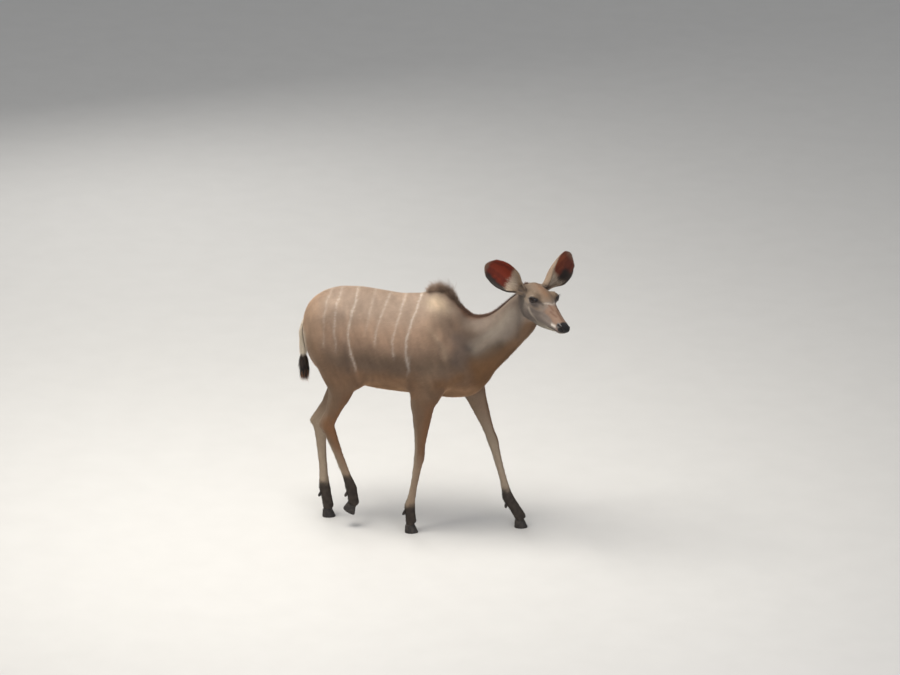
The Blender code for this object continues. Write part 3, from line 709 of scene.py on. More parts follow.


# ---------------------------------------------------------------- the markings, with painted light and shade

COLOURS = {
    "back": "A48F7D",  # greyish tan
    "flank": "A78A73",
    # painted shade: the lower flank, the hollows and the tops of the legs darker, as if turned from the light
    "painted_shade_low_flank": "7A6452",
    "belly": "8D6B4F",  # warm brown
    "under": "AE8763",  # painted light: the underside made lighter where it faces down, as if lit from the floor
    "rump": "A88C74",
    "haunch": "8A6C53",
    # painted highlight colour, for the light streak down the shoulder
    "withers": "CDBA9F",
    # painted highlight on the top of the shoulder blade
    "painted_withers_highlight": "D3BFA3",
    "shoulder": "9A7F67",
    "arm": "86725E",
    "neck": "9B8C7E",
    "nape": "6E5A4B",
    "crest": "6B4A38",
    "throat": "6A5848",
    "breast": "84603F",
    "shade": "5A4C42",  # behind the cheek and in the fold of the neck
    # painted shade at the foot of the neck
    "painted_neck_foot_shade": "544C48",
    "leg": "7F634B",
    "knee": "8A5E3C",  # warm brown down the front of the legs
    "pale_leg": "AF9D88",
    "boot": "2A231F",  # charcoal from the fetlocks down
    "stripe": "DCD0C2",
    "forehead": "705F4E",
    "rust": "8C6348",
    "cheek": "736860",
    # pale hair, also used for painted light on the neck and above the eyes
    "pale_hair_and_painted_light": "B4A797",
    "bridge": "7C6250",
    "bridge_dark": "5E3F2E",
    "nose": "131010",
    "lip": "9A7C74",
    "white": "E4DBD0",
    "chin": "ACA291",
    "lid": "231C19",
    "tear": "2B221D",
    "ear_back": "8F7B68",
    # painted light shining through the ear
    "painted_light_through_ear": "8A331B",
    # painted shade on the glow through the ear
    "painted_dim_light_through_ear": "4E1A12",
    # the ears' dark rims, also used for painted shade inside the cup
    "dark_rim_and_painted_ear_shade": "2B2622",
    "ear_pale": "BCA890",
    "tail_pale": "E4D6C2",
    "tail_black": "1F1A19",
    "tail_tip": "9A6A4A",
    "mane": "806C5C",
    "mane_dark": "4C3C33",
}

# Across the back and down the flanks: a line of height and place along the trunk, its width in mm, and how
# white it is.
STRIPES = (
    (((1.150, -0.486), (1.116, -0.497), (1.050, -0.502), (0.985, -0.503), (0.915, -0.500)), 3.8, 0.50),
    (((1.150, -0.442), (1.100, -0.449), (1.040, -0.450), (0.975, -0.450), (0.895, -0.441)), 4.2, 0.60),
    (
        (
            (1.170, -0.364), (1.118, -0.364), (1.066, -0.376), (0.988, -0.388), (0.882, -0.374),
            (0.812, -0.354),
        ),
        4.4, 0.80,
    ),
    (((1.135, -0.285), (1.110, -0.288), (1.050, -0.298), (0.990, -0.310)), 3.6, 0.38),
    (((1.160, -0.209), (1.111, -0.226), (1.060, -0.242), (1.005, -0.255), (0.940, -0.257)), 4.2, 0.60),
    (((1.150, -0.140), (1.080, -0.155), (1.020, -0.167), (0.965, -0.176), (0.890, -0.167)), 4.4, 0.72),
    (
        (
            (1.150, -0.069), (1.092, -0.082), (1.040, -0.098), (0.987, -0.110), (0.930, -0.113),
            (0.828, -0.099),
        ),
        5.0, 0.95,
    ),
    (((0.870, -0.096), (0.800, -0.110)), 3.4, 0.40),
)

# Lighter and darker parts of the trunk, many of them painted highlights and shade: how strong, half width in
# mm, and a line of x, distance from the middle plane and height.
BODY_PATCHES = (
    ("shoulder", 0.50, 75, ((0.010, 0.120, 1.040), (0.010, 0.150, 0.880))),
    # painted highlight on the top of the shoulder blade
    ("painted_withers_highlight", 0.72, 37, ((-0.002, 0.054, 1.128), (0.036, 0.062, 1.106))),
    # painted shade in the hollow before the shoulder blade
    ("painted_shade_low_flank", 0.25, 20, ((0.086, 0.112, 1.060), (0.050, 0.110, 1.078))),
    # painted highlight along the ridge of the shoulder blade and the upper arm
    (
        "withers", 0.22, 13,
        ((-0.020, 0.133, 1.030), (0.013, 0.135, 0.995), (0.060, 0.135, 0.935), (0.068, 0.135, 0.900)),
    ),
    ("shade", 0.30, 9, ((0.040, 0.138, 0.965), (0.037, 0.144, 0.892), (0.048, 0.140, 0.845))),
    # painted shade at the foot of the neck
    ("painted_neck_foot_shade", 0.60, 34, ((0.112, 0.098, 0.985), (0.124, 0.106, 0.930), (0.112, 0.118, 0.885))),
    ("arm", 0.30, 48, ((-0.010, 0.150, 0.850), (-0.020, 0.150, 0.720))),
    ("breast", 0.60, 26, ((0.030, 0.150, 0.762), (0.085, 0.118, 0.765), (0.135, 0.118, 0.800))),
    ("shade", 0.38, 12, ((-0.394, 0.156, 0.945), (-0.392, 0.155, 0.866), (-0.386, 0.152, 0.800))),
    ("haunch", 0.55, 40, ((-0.550, 0.140, 0.900), (-0.515, 0.152, 0.830), (-0.455, 0.160, 0.800))),
    # painted shade along the lower flank
    ("painted_shade_low_flank", 0.60, 36, ((-0.300, 0.165, 0.868), (-0.160, 0.175, 0.868))),
    ("belly", 0.40, 12, ((-0.360, 0.140, 0.785), (-0.140, 0.140, 0.765))),
)

# Lines that single marks of the neck and the legs follow, among them painted shade behind the cheeks and at
# the neck's foot and a painted light band along the neck; the second number of the two on the neck's side is
# the distance from the middle plane.
BEHIND_RIGHT_CHEEK = ((0.392, -0.052, 1.190), (0.398, -0.052, 1.110), (0.392, -0.030, 1.000))
BEHIND_LEFT_CHEEK = ((0.452, 0.075, 1.160), (0.455, 0.080, 1.080))
PALE_BAND = ((0.190, 0.090, 0.945), (0.256, 0.085, 0.995), (0.302, 0.085, 1.055), (0.355, 0.085, 1.125))
NECK_FOOT = ((0.130, 0.098, 0.975), (0.148, 0.104, 0.930), (0.134, 0.116, 0.880))
RIGHT_HOCK = ((-0.507, -0.064, 0.545), (-0.500, -0.060, 0.500))

BOOT_TOPS = {
    "leg_front_left": 0.175,
    "leg_front_right": 0.135,
    "leg_hind_left": 0.170,
    "leg_hind_right": 0.255,
}

# Lines of the face's marks, in the head's frame, the same on both sides.
CROWN = ((-0.062, 0.0, 0.045), (0.010, 0.0, 0.045))
CHEVRON = ((0.040, 0.040, 0.010), (0.056, 0.024, 0.021), (0.072, 0.004, 0.024), (0.074, 0.0, 0.024))
BRIDGE_STREAKS = (
    ((0.070, 0.019, 0.023), (0.104, 0.013, 0.014)),
    ((0.100, 0.024, 0.008), (0.140, 0.016, 0.004)),
    ((0.110, 0.002, 0.014), (0.165, 0.002, 0.002)),
)
CHEEK_LINE = (
    (-0.006, 0.066, -0.038), (0.008, 0.063, -0.053), (0.024, 0.056, -0.066),
    (0.045, 0.048, -0.080), (0.085, 0.038, -0.086), (0.125, 0.037, -0.072),
)
LIP_SPOT = ((0.146, 0.037, -0.034), (0.168, 0.035, -0.031))
UPPER_LIP_EDGE = ((0.206, 0.021, -0.037), (0.182, 0.034, -0.040))
TEAR_MARK = ((0.020, 0.058, 0.016), (0.036, 0.048, 0.012), (0.050, 0.038, 0.010))

# The ears' marks, as shares of their length: where the painted shade along the lower side of the cup starts
# and fades, and how far the pale hair reaches from the root.
EAR_MARKS = {"ear_right": (0.06, 1.20, 0.25), "ear_left": (0.18, 0.78, 0.40)}


def linear(code):
    """A six-figure sRGB colour as linear red, green and blue."""
    shares = [int(code[k:k + 2], 16) / 255 for k in (0, 2, 4)]
    return np.array([c / 12.92 if c <= 0.04045 else ((c + 0.055) / 1.055) ** 2.4 for c in shares])


def all_over(name, points):
    return np.tile(linear(COLOURS[name]), (len(points), 1))


def tinted(colours, name, share):
    """Lays a named colour over those there, as strongly as share says."""
    return mixed(colours, linear(COLOURS[name]), np.clip(share, 0, 1))


class BodySpots:
    """Points of the body's skin, with the soft noise that frays and mottles its markings."""

    def __init__(self, points, normals, shares):
        self.points = points
        self.normals = normals
        self.shares = shares
        self.x, self.y, self.z = points.T
        self.side = np.abs(self.y - MIDLINE)
        self.legs = on_legs(shares)
        self.patches = cloudy(points, 0.055, 1)
        self.grain = cloudy(points, 0.016, 2)
        self.level = self.z + 0.020 * self.patches
        self.folded = np.stack([self.x, self.side, self.z], 1) + 0.010 * self.patches[:, None]
        self.streaks = self.drawn_out(0.35, 0.16, 0.011, 10)
        self.drifts = self.drawn_out(0.25, 0.30, 0.028, 11)

    def drawn_out(self, slant, squeeze, size, seed):
        """Noise that is drawn out downwards, on a slant, as the coat lies."""
        along = self.x + slant * (self.z - 1.0)
        return cloudy(np.stack([along, self.side * 0.4, self.z * squeeze], 1), size, seed)


def trunk_colours(at):
    """Greyish tan above to warm brown below, with lighter and darker patches, among them painted shade on the
    lower flank, in hollows and folds, painted highlights on the shoulder and painted floor light underneath.
    """
    tan = all_over("back", at.points)
    tan = tinted(tan, "flank", smooth_step(at.level, 1.110, 0.960))
    # painted shade: the lower flank darker, as if turned from the light
    tan = tinted(tan, "painted_shade_low_flank", smooth_step(at.level, 0.960, 0.850))
    tan = tinted(tan, "belly", 0.75 * smooth_step(at.level + 0.015 * at.grain, 0.850, 0.755))
    # painted light from the floor on the faces that turn down
    tan = tinted(tan, "under", 0.8 * smooth_step(at.normals[:, 2], -0.25, -0.85))
    tan = tinted(tan, "rump", 0.75 * smooth_step(at.x + 0.02 * at.patches, -0.470, -0.570))
    for name, strength, width, line in BODY_PATCHES:
        tan = tinted(tan, name, strength * around(distance_to_line(at.folded, line), width * MM))
    tan = tan * (1 + 0.15 * at.streaks + 0.13 * at.drifts)[:, None]
    beside_tail = 0.45 * smooth_step(at.x, -0.585, -0.610) * smooth_step(at.z, 0.985, 0.94)
    return tinted(tan, "tail_pale", beside_tail * (1 - at.shares["tail"]))


def neck_colours(at):
    """Grey above, darker down the throat, partly with painted shade, warm over the breast, with a dark crest,
    painted shade at the neck's foot and a painted light band along the neck.
    """
    neck = all_over("neck", at.points)
    # the throat's own browner colour, with painted shade under the neck
    neck = tinted(neck, "throat", smooth_step(at.level + 0.35 * (at.x - 0.25), 1.040, 0.960))
    neck = tinted(neck, "breast", smooth_step(at.level, 0.930, 0.820))
    faces_down = at.normals[:, 0] - 0.6 * at.normals[:, 2] + 0.1 * at.patches
    neck = tinted(neck, "breast", 0.78 * smooth_step(faces_down, 0.00, 0.55))
    cheeks = [distance_to_line(at.points, line) for line in (BEHIND_RIGHT_CHEEK, BEHIND_LEFT_CHEEK)]
    neck = tinted(neck, "shade", 0.42 * around(np.minimum(*cheeks), 0.014))
    # painted light along the long muscle of the neck
    neck = tinted(neck, "pale_hair_and_painted_light", 0.55 * around(distance_to_line(at.folded, PALE_BAND), 0.040))
    # painted shade at the foot of the neck
    neck = tinted(neck, "painted_neck_foot_shade", 0.80 * around(distance_to_line(at.folded, NECK_FOOT), 0.032))
    faces_up = at.normals[:, 2]
    neck = tinted(neck, "nape", 0.45 * smooth_step(faces_up + 0.1 * at.patches, 0.05, 0.45))
    off_crest = np.abs(at.y - (MIDLINE - 0.05 * (at.x - 0.15)))
    ridge = smooth_step(off_crest, 0.040, 0.012) * smooth_step(faces_up, 0.2, 0.7)
    neck = tinted(neck, "crest", 0.8 * ridge)
    return neck * (1 + 0.07 * at.drifts)[:, None]


def leg_colours(at):
    """Tan outside, warm down the front, and pale behind and inside."""
    leg = all_over("leg", at.points)
    height = at.z + 0.02 * at.patches
    # painted shade carried from the lower flank onto the tops of the legs
    leg = tinted(leg, "painted_shade_low_flank", 0.35 * smooth_step(at.level, 0.50, 0.72))
    leg = tinted(leg, "pale_leg", 0.50 * smooth_step(height, 0.44, 0.30))
    warm = hump(height, 0.540, 0.200) * smooth_step(at.normals[:, 0] + 0.15 * at.grain, -0.15, 0.55)
    leg = tinted(leg, "knee", 0.62 * warm * (1 - 0.6 * at.shares["leg_front_left"]))
    leg = tinted(leg, "knee", 0.60 * around(distance_to_line(at.points, RIGHT_HOCK), 0.034))
    outward = at.normals[:, 1] * np.sign(at.y - MIDLINE)
    pale = np.maximum(smooth_step(at.normals[:, 0], -0.15, -0.75), smooth_step(outward, -0.1, -0.7))
    return tinted(leg, "pale_leg", pale * (0.35 + 0.55 * smooth_step(at.z, 0.62, 0.40)))


def with_boots(colours, at):
    """Charcoal from the fetlocks down, with a ragged upper edge."""
    edge = at.z + 0.016 * at.patches + 0.012 * at.grain
    for leg, top in BOOT_TOPS.items():
        boot = smooth_step(edge, top + 0.030, top - 0.012)
        colours = tinted(colours, "boot", (0.93 + 0.07 * at.grain) * boot * (at.shares[leg] > 0.5))
    return colours


def with_stripes(colours, at):
    """Thin white stripes down the flanks, broken a little along their edges."""
    off_legs = 1 - at.legs * smooth_step(at.z, 0.80, 0.72)
    for line, width, whiteness in STRIPES:
        heights, places = (np.array(column) for column in zip(*line[::-1]))
        middle = np.interp(at.z, heights, places)
        within = smooth_step(at.z, heights[0] - 0.02, heights[0] + 0.03) * (at.side < 0.20)
        ends = 1 - smooth_step(at.z, heights[-1] + 0.02, heights[-1] + 0.06)
        frayed = width * 0.8 * MM * (1 + 0.45 * at.grain)
        strength = around(np.abs(at.x - middle + 0.004 * at.patches), frayed, 2.6)
        strength = strength * within * ends * whiteness * (0.84 + 0.30 * at.patches + 0.20 * at.streaks)
        colours = tinted(colours, "stripe", strength * off_legs)
    return colours


def tail_colours(at):
    """Pale down its sides, black at its end."""
    tail = all_over("rump", at.points)
    tail = tinted(tail, "tail_pale", smooth_step(at.z, 1.000, 0.930))
    return tinted(tail, "tail_black", smooth_step(at.z + 0.01 * at.patches, 0.822, 0.806))


def body_colours(points, normals, shares):
    """The trunk, neck, legs and tail, each passing softly into the next."""
    at = BodySpots(points, normals, shares)
    forward = at.x + 0.3 * (at.z - 1.0) + 0.01 * at.patches
    colours = mixed(trunk_colours(at), neck_colours(at), smooth_step(forward, 0.085, 0.150))
    colours = mixed(colours, leg_colours(at), at.legs * smooth_step(at.level, 0.80, 0.66))
    colours = with_stripes(with_boots(colours, at), at)
    return mixed(colours, tail_colours(at), smooth_step(shares["tail"], 0.3, 0.8))


class FaceSpots:
    """Points of the head's skin in its own frame, folded onto its left side, with soft noise."""

    def __init__(self, points, normals):
        self.points = points
        self.folded = mirrored(in_head(points))
        self.x, self.y, self.z = self.folded.T
        self.up = normals @ HEAD_AXES[:, 2]
        self.patches = cloudy(points, 0.022, 3)
        self.grain = cloudy(points, 0.006, 4)
        self.on_muzzle = smooth_step(self.x, 0.10, 0.125)

    def near(self, line, reach, power=2):
        return around(distance_to_line(self.folded, line), reach, power)

    def seen_near(self, line, way, reach, power=2):
        return around(distance_seen_along(self.folded, line, way), reach, power)


def face_colours(at):
    """Grey cheeks, a brown forehead and bridge, the white chevron before the eyes, and the cheek's line."""
    colours = all_over("cheek", at.points)
    top = smooth_step(at.up + 0.20 * at.patches, 0.10, 0.62)
    colours = tinted(colours, "forehead", top * smooth_step(at.x, 0.080, 0.030))
    colours = tinted(colours, "rust", 0.50 * at.near(CROWN, 0.024) * (0.8 + 0.4 * at.patches))
    bridge = smooth_step(at.up + 0.4 * smooth_step(at.y, 0.045, 0.020) + 0.2 * at.patches, 0.20, 0.85)
    bridge = bridge * smooth_step(at.x + 0.004 * at.patches, 0.060, 0.082)
    colours = tinted(colours, "bridge", 0.9 * bridge)
    wavy = at.folded + 0.002 * at.patches[:, None]
    for line in BRIDGE_STREAKS:
        streak = around(distance_seen_along(wavy, line, (0.0, 0.3, 1.0)), 4.2 * MM)
        colours = tinted(colours, "bridge_dark", 0.85 * streak * (at.up > 0) * (0.8 + 0.4 * at.grain))
    behind = 0.35 * smooth_step(at.x, -0.045, -0.095) * smooth_step(at.z, 0.03, -0.02)
    colours = tinted(colours, "shade", behind)
    colours = tinted(colours, "white", 0.34 * at.near(CHEVRON, 0.0042) * (0.85 + 0.5 * at.grain))
    colours = tinted(colours, "pale_hair_and_painted_light", 0.75 * at.near(CHEEK_LINE, 0.0065))
    behind_cheek = 0.4 * hump(at.x, -0.050, 0.030) * hump(at.z, -0.040, 0.030) * (at.y > 0.03)
    colours = tinted(colours, "pale_hair_and_painted_light", behind_cheek)
    under = smooth_step(at.up, -0.25, -0.75)
    return tinted(colours, "chin", 0.8 * under * smooth_step(at.x, 0.00, 0.06))


def with_muzzle(colours, at):
    """The pale lips with a white spot, and the bare black nose, nostrils and mouth. Gives how bare, too."""
    lower_lip = smooth_step(at.z + 0.19 * (0.206 - at.x), -0.044, -0.051) * smooth_step(at.x, 0.085, 0.115)
    colours = tinted(colours, "chin", 0.85 * lower_lip)
    spot = 0.80 * at.seen_near(LIP_SPOT, ACROSS, 0.0066) * (at.y > 0.015) * (0.85 + 0.3 * at.grain)
    colours = tinted(colours, "white", spot)
    colours = tinted(colours, "lip", 0.8 * at.seen_near(UPPER_LIP_EDGE, ACROSS, 0.007, 4))
    pad = smooth_step(at.x + 0.55 * (at.z + 0.010) + 0.003 * at.patches, 0.174, 0.185)
    pad = pad * smooth_step(at.z, -0.042, -0.036)
    pad = pad * (1 - smooth_step(at.y, 0.026, 0.034) * smooth_step(at.x, 0.196, 0.184))
    pad = np.maximum(pad, at.seen_near(NOSTRIL, NOSTRIL_FACES, 0.0085, 4) * at.on_muzzle)
    colours = tinted(colours, "nose", pad)
    hole = at.seen_near(NOSTRIL, NOSTRIL_FACES, 0.0045, 4)
    colours = tinted(colours, "lid", 0.9 * hole * at.on_muzzle)
    mouth = at.seen_near(MOUTH, ACROSS, 2.3 * MM) * at.on_muzzle
    return tinted(colours, "nose", 0.85 * mouth), np.maximum(pad, mouth)


def with_eyes(colours, bare, at):
    """The dark tear mark, and round each eye the bare dark lids and, above them, pale hair with a painted
    highlight on the fold.
    """
    reach = 0.0085 - 0.10 * np.clip(at.x - 0.014, 0, 0.04)
    colours = tinted(colours, "tear", 0.70 * at.seen_near(TEAR_MARK, EYE_LOOKS, reach, 3) * (at.y > 0.02))
    for node in EYES:
        a, b, out, across, outside = eye_places(at.points, node)
        front = (out > -0.006) & (across < 0.040)
        fold = hump(outside, 8.5 * MM, 2.2 * MM) * smooth_step(b, 0.0, 0.006) * smooth_step(a, 0.008, -0.004)
        # pale hair above the lid, with a painted highlight on the fold
        colours = tinted(colours, "pale_hair_and_painted_light", 0.32 * front * fold)
        colours = tinted(colours, "tear", 0.80 * front * (1 - smooth_step(outside, 4.2 * MM, 8.0 * MM)))
        rim = front * (1 - smooth_step(outside, 3.2 * MM, 5.4 * MM))
        colours = tinted(colours, "lid", rim)
        bare = np.maximum(bare, rim * 0.8)
    return colours, bare


def head_colours(points, normals):
    """The face, and how bare of hair it is."""
    at = FaceSpots(points, normals)
    colours, bare = with_muzzle(face_colours(at), at)
    return with_eyes(colours, bare, at)


def ear_colours(points, node):
    """Tan behind; inside, a painted red glow of light shining through the ear, dimmer in painted shade along
    its ridges, its lower side and its tip, with a dark rim and pale hair near the root.
    """
    share, across, inside = ear_places(points, node)
    patches = cloudy(points, 0.018, 5)
    grain = cloudy(points, 0.005, 6)
    dark_from, dark_to, pale_to = EAR_MARKS[node]
    behind = all_over("ear_back", points)
    behind = tinted(behind, "nape", 0.5 * smooth_step(share + 0.08 * patches, 0.55, 1.0))
    edge = 0.75 * smooth_step(across, 0.70, 0.92) * smooth_step(share, 0.04, 0.12)
    behind = tinted(behind, "dark_rim_and_painted_ear_shade", edge)
    # painted red glow of light shining through the ear
    cup = all_over("painted_light_through_ear", points)
    # the left ear's painted glow is more orange
    if node == "ear_left":
        cup = tinted(cup, "knee", 0.35)
    # painted shade: the glow through the ear dimmer in the ridges, along its lower side and at its tip
    cup = tinted(cup, "painted_dim_light_through_ear", 0.45 * smooth_step(np.cos(across * EAR_RIDGES + 0.6 * patches), 0.1, 0.9))
    cup = tinted(cup, "painted_dim_light_through_ear", 0.6 * smooth_step(across + 0.25 * patches, -0.05, 0.30))
    cup = tinted(cup, "painted_dim_light_through_ear", 0.4 * smooth_step(share + 0.05 * patches, 0.75, 0.95))
    # painted shade inside the cup along its lower side
    lower = smooth_step(across + 0.12 * patches, 0.22, 0.52) * smooth_step(share, dark_from, dark_from + 0.12)
    lower = lower * smooth_step(share + 0.04 * patches, dark_to, dark_to - 0.16)
    cup = tinted(cup, "dark_rim_and_painted_ear_shade", 0.95 * lower * (1 - 0.4 * smooth_step(share, 0.80, 0.95)))
    pale_to = pale_to + 0.16 * smooth_step(-across, 0.05, 0.85)
    pale = smooth_step(share - pale_to + 0.03 * patches, 0.07, -0.05) * (1 - 0.8 * lower)
    cup = tinted(cup, "ear_pale", 0.9 * pale)
    cup = tinted(cup, "shade", 0.8 * smooth_step(share, 0.10, 0.02))
    cup = tinted(cup, "ear_back", 0.55 * smooth_step(share + 0.03 * patches, 0.86, 1.00))
    colours = mixed(behind, cup, smooth_step(inside, -0.4 * MM, 0.6 * MM))
    past_root = smooth_step(share, 0.1, 0.3)
    rim = smooth_step(across + 0.04 * patches, 0.80, 0.96) * past_root
    rim = np.maximum(rim, 0.5 * smooth_step(-across, 0.93, 0.99) * past_root)
    return tinted(colours, "dark_rim_and_painted_ear_shade", 0.75 * rim * (0.8 + 0.3 * grain))


def markings_at(points, normals, shares):
    """The colour of any points of the skin, and how bare of hair they are."""
    colours = body_colours(points, normals, shares)
    bare = np.zeros(len(points))
    head = smooth_step(shares["head"], 0.35, 0.75)
    on_head = head > 0
    if on_head.any():
        face, bare_face = head_colours(points[on_head], normals[on_head])
        colours[on_head] = mixed(colours[on_head], face, head[on_head])
        bare[on_head] = bare_face * head[on_head]
    for node in EARS:
        on_ear = smooth_step(shares[node], 0.35, 0.65)
        there = on_ear > 0
        if there.any():
            colours[there] = mixed(colours[there], ear_colours(points[there], node), on_ear[there])
            bare = bare * (1 - on_ear)
    mottle = 1 + 0.055 * cloudy(points, 0.010, 7) + 0.045 * cloudy(points, 0.030, 8)
    mottle = mottle + 0.030 * cloudy(points, 0.090, 9)
    return colours * mottle[:, None], bare


# ---------------------------------------------------------------- lie of the coat

def lie_of_hair(points, normals, shares, edges):
    """Which way the hair lies at each point: back and down over the trunk, down the neck and the legs,
    from the nose to the crown, and out along the ears and the tail."""
    ways = np.zeros_like(points)
    ways += np.outer(shares["trunk"], (-0.90, 0.0, -0.42))
    ways += np.outer(shares["neck"], (-0.58, 0.06, -0.80))
    for leg in LEGS:
        ways += np.outer(shares[leg], (-0.12, 0.0, -1.0))
    back = -HEAD_AXES[:, 0] - 0.25 * HEAD_AXES[:, 2]
    ways += np.outer(shares["head"], back)
    for node in EARS:
        ways += np.outer(shares[node], ear_frame(node)[1] * 1.6)
    ways += np.outer(shares["tail"], (0.0, 0.0, -1.6))
    ways = relaxed(ways, edges, 20)
    ways -= normals * (ways * normals).sum(1)[:, None]
    return unit(ways)


def hair_sizes(points, shares, bare):
    """Length and width of the short coat's tufts at each point, in metres, and how densely they stand."""
    legs = on_legs(shares)
    ears = shares["ear_left"] + shares["ear_right"]
    height = points[:, 2]
    length = 17.0 * shares["trunk"] + 18.0 * shares["neck"] + 14.0 * shares["tail"] + 6.5 * ears
    length = length + legs * (8.5 + 6.5 * smooth_step(height, 0.35, 0.75))
    local = in_head(points)
    face = 8.5 - 4.5 * smooth_step(local[:, 0], -0.04, 0.15)
    length = length + shares["head"] * face
    length = length + 5.0 * shares["trunk"] * smooth_step(height, 0.82, 0.74)
    for node in EYES:
        *_, outside = eye_places(points, node)
        near = (lengths_of(points - eye_frame(node)[0]) < 0.045) * (1 - smooth_step(outside, 0.002, 0.014))
        length = length * (1 - 0.62 * near)
    width = 0.60 + 0.058 * length
    density = (1 - smooth_step(bare, 0.25, 0.6)) / (length * width)
    return length * MM, width * MM, density


class Ground:
    """The skin as the coat's tufts see it: its triangles, with what each corner carries."""

    def __init__(self, skin, shares, bare):
        mesh = skin.data
        mesh.calc_loop_triangles()
        count = len(mesh.loop_triangles)
        corners = np.empty(count * 3, np.int32)
        mesh.loop_triangles.foreach_get("loops", corners)
        verts = np.empty(count * 3, np.int32)
        mesh.loop_triangles.foreach_get("vertices", verts)
        flat = np.empty(len(mesh.loops) * 2, np.float32)
        mesh.uv_layers["OFBake"].uv.foreach_get("vector", flat)
        self.verts = verts.reshape(-1, 3)
        self.flat = flat.reshape(-1, 2)[corners].reshape(-1, 3, 2)
        self.places = places_of(mesh)
        self.normals = normals_of(mesh)
        self.shares = shares
        edges = edges_of(mesh)
        self.ways = lie_of_hair(self.places, self.normals, shares, edges)
        self.length, self.width, self.density = hair_sizes(self.places, shares, bare)
        a, b, c = (self.places[self.verts[:, k]] for k in range(3))
        self.areas = lengths_of(np.cross(b - a, c - a)) / 2

    def roots(self, wanted, count, rng):
        """Spreads roots over the skin as wanted says at its points, and gives what the skin carries there."""
        weight = self.areas * wanted[self.verts].mean(1)
        total = np.cumsum(weight)
        spots = (np.arange(count) + rng.random(count)) * total[-1] / count
        chosen = np.minimum(np.searchsorted(total, spots), len(weight) - 1)
        first, second = rng.random(count), rng.random(count)
        over = first + second > 1
        first[over], second[over] = 1 - first[over], 1 - second[over]
        shares = np.stack([1 - first - second, first, second], 1)
        corners = self.verts[chosen]

        def carried(values):
            return np.einsum("tk,tk...->t...", shares, values[corners])

        places, normals = carried(self.places), unit(carried(self.normals))
        belongs = {node: carried(values) for node, values in self.shares.items()}
        return {
            "places": places,
            "normals": normals,
            "ways": unit(carried(self.ways)),
            "colours": markings_at(places, normals, belongs)[0],
            "length": carried(self.length),
            "width": carried(self.width),
            "flat": np.einsum("tk,tkj->tj", shares, self.flat[chosen]),
        }


# ------------------------------------------------------------------- materials

def add_node(tree, kind, values=None, links=None, **settings):
    """Adds a shader node with its sockets' values, its links and its settings."""
    node = tree.nodes.new("ShaderNode" + kind)
    for name, value in settings.items():
        setattr(node, name, value)
    for socket, value in (values or {}).items():
        node.inputs[socket].default_value = value
    for socket, source in (links or {}).items():
        tree.links.new(source, node.inputs[socket])
    return node


def new_material(name, values):
    """A material with its surface, whose sockets have the given values, and its output."""
    material = bpy.data.materials.new(name)
    material.use_nodes = True
    tree = material.node_tree
    tree.nodes.clear()
    surface = add_node(tree, "BsdfPrincipled", values)
    add_node(tree, "OutputMaterial", links={"Surface": surface.outputs["BSDF"]})
    return material, tree, surface.inputs


def rgba(code):
    return (*linear(code), 1.0)


def short_haired_hide():
    """The hide under the coat: short flat hair gives a soft, dull surface with fine streaks along its lie,
    and the bare nose, lips and lids are damp, with a pebbled grain."""
    material, tree, surface = new_material(
        "short_haired_hide",
        {"IOR": 1.50, "Specular IOR Level": 0.35, "Sheen Weight": 0.12, "Sheen Roughness": 0.45},
    )
    where = add_node(tree, "TexCoord").outputs["Object"]
    colour = add_node(tree, "Attribute", attribute_name="markings").outputs["Color"]
    bare = add_node(tree, "Attribute", attribute_name="bare").outputs["Fac"]
    on_leg = add_node(tree, "Attribute", attribute_name="on_leg").outputs["Fac"]
    # A hair is 0.05 mm thick; the streaks stand for locks 1.5 mm wide and 12 mm long, or they wouldn't show.
    heights = []
    for turn, stretch in (((0.0, 0.44, 0.0), (85, 650, 650)), ((0.0, 0.0, 0.0), (650, 650, 85))):
        turned = add_node(
            tree, "Mapping", {"Rotation": turn, "Scale": stretch}, {"Vector": where}, vector_type="POINT"
        )
        streaks = add_node(
            tree, "TexNoise", {"Scale": 1.0, "Detail": 3.0, "Roughness": 0.6}, {"Vector": turned.outputs[0]}
        )
        heights.append(streaks.outputs["Fac"])
    hair = add_node(tree, "Mix", links={"Factor": on_leg, "A": heights[0], "B": heights[1]})
    pebbles = add_node(  # the nose's grain is about 2 mm across
        tree, "TexVoronoi", {"Scale": 480.0}, {"Vector": where}, feature="SMOOTH_F1"
    )
    height = add_node(
        tree, "Mix", links={"Factor": bare, "A": hair.outputs[0], "B": pebbles.outputs["Distance"]}
    )
    bump = add_node(tree, "Bump", {"Strength": 0.55, "Distance": 0.0009}, {"Height": height.outputs[0]})
    tone = add_node(tree, "MapRange", {"To Min": 0.84, "To Max": 1.12}, {"Value": hair.outputs[0]})
    streaked = add_node(tree, "VectorMath", links={0: colour, 1: tone.outputs[0]}, operation="MULTIPLY")
    dampness = add_node(tree, "MapRange", {"To Min": 0.72, "To Max": 0.34}, {"Value": bare})
    tree.links.new(streaked.outputs[0], surface["Base Color"])
    tree.links.new(dampness.outputs[0], surface["Roughness"])
    tree.links.new(bump.outputs[0], surface["Normal"])
    return material


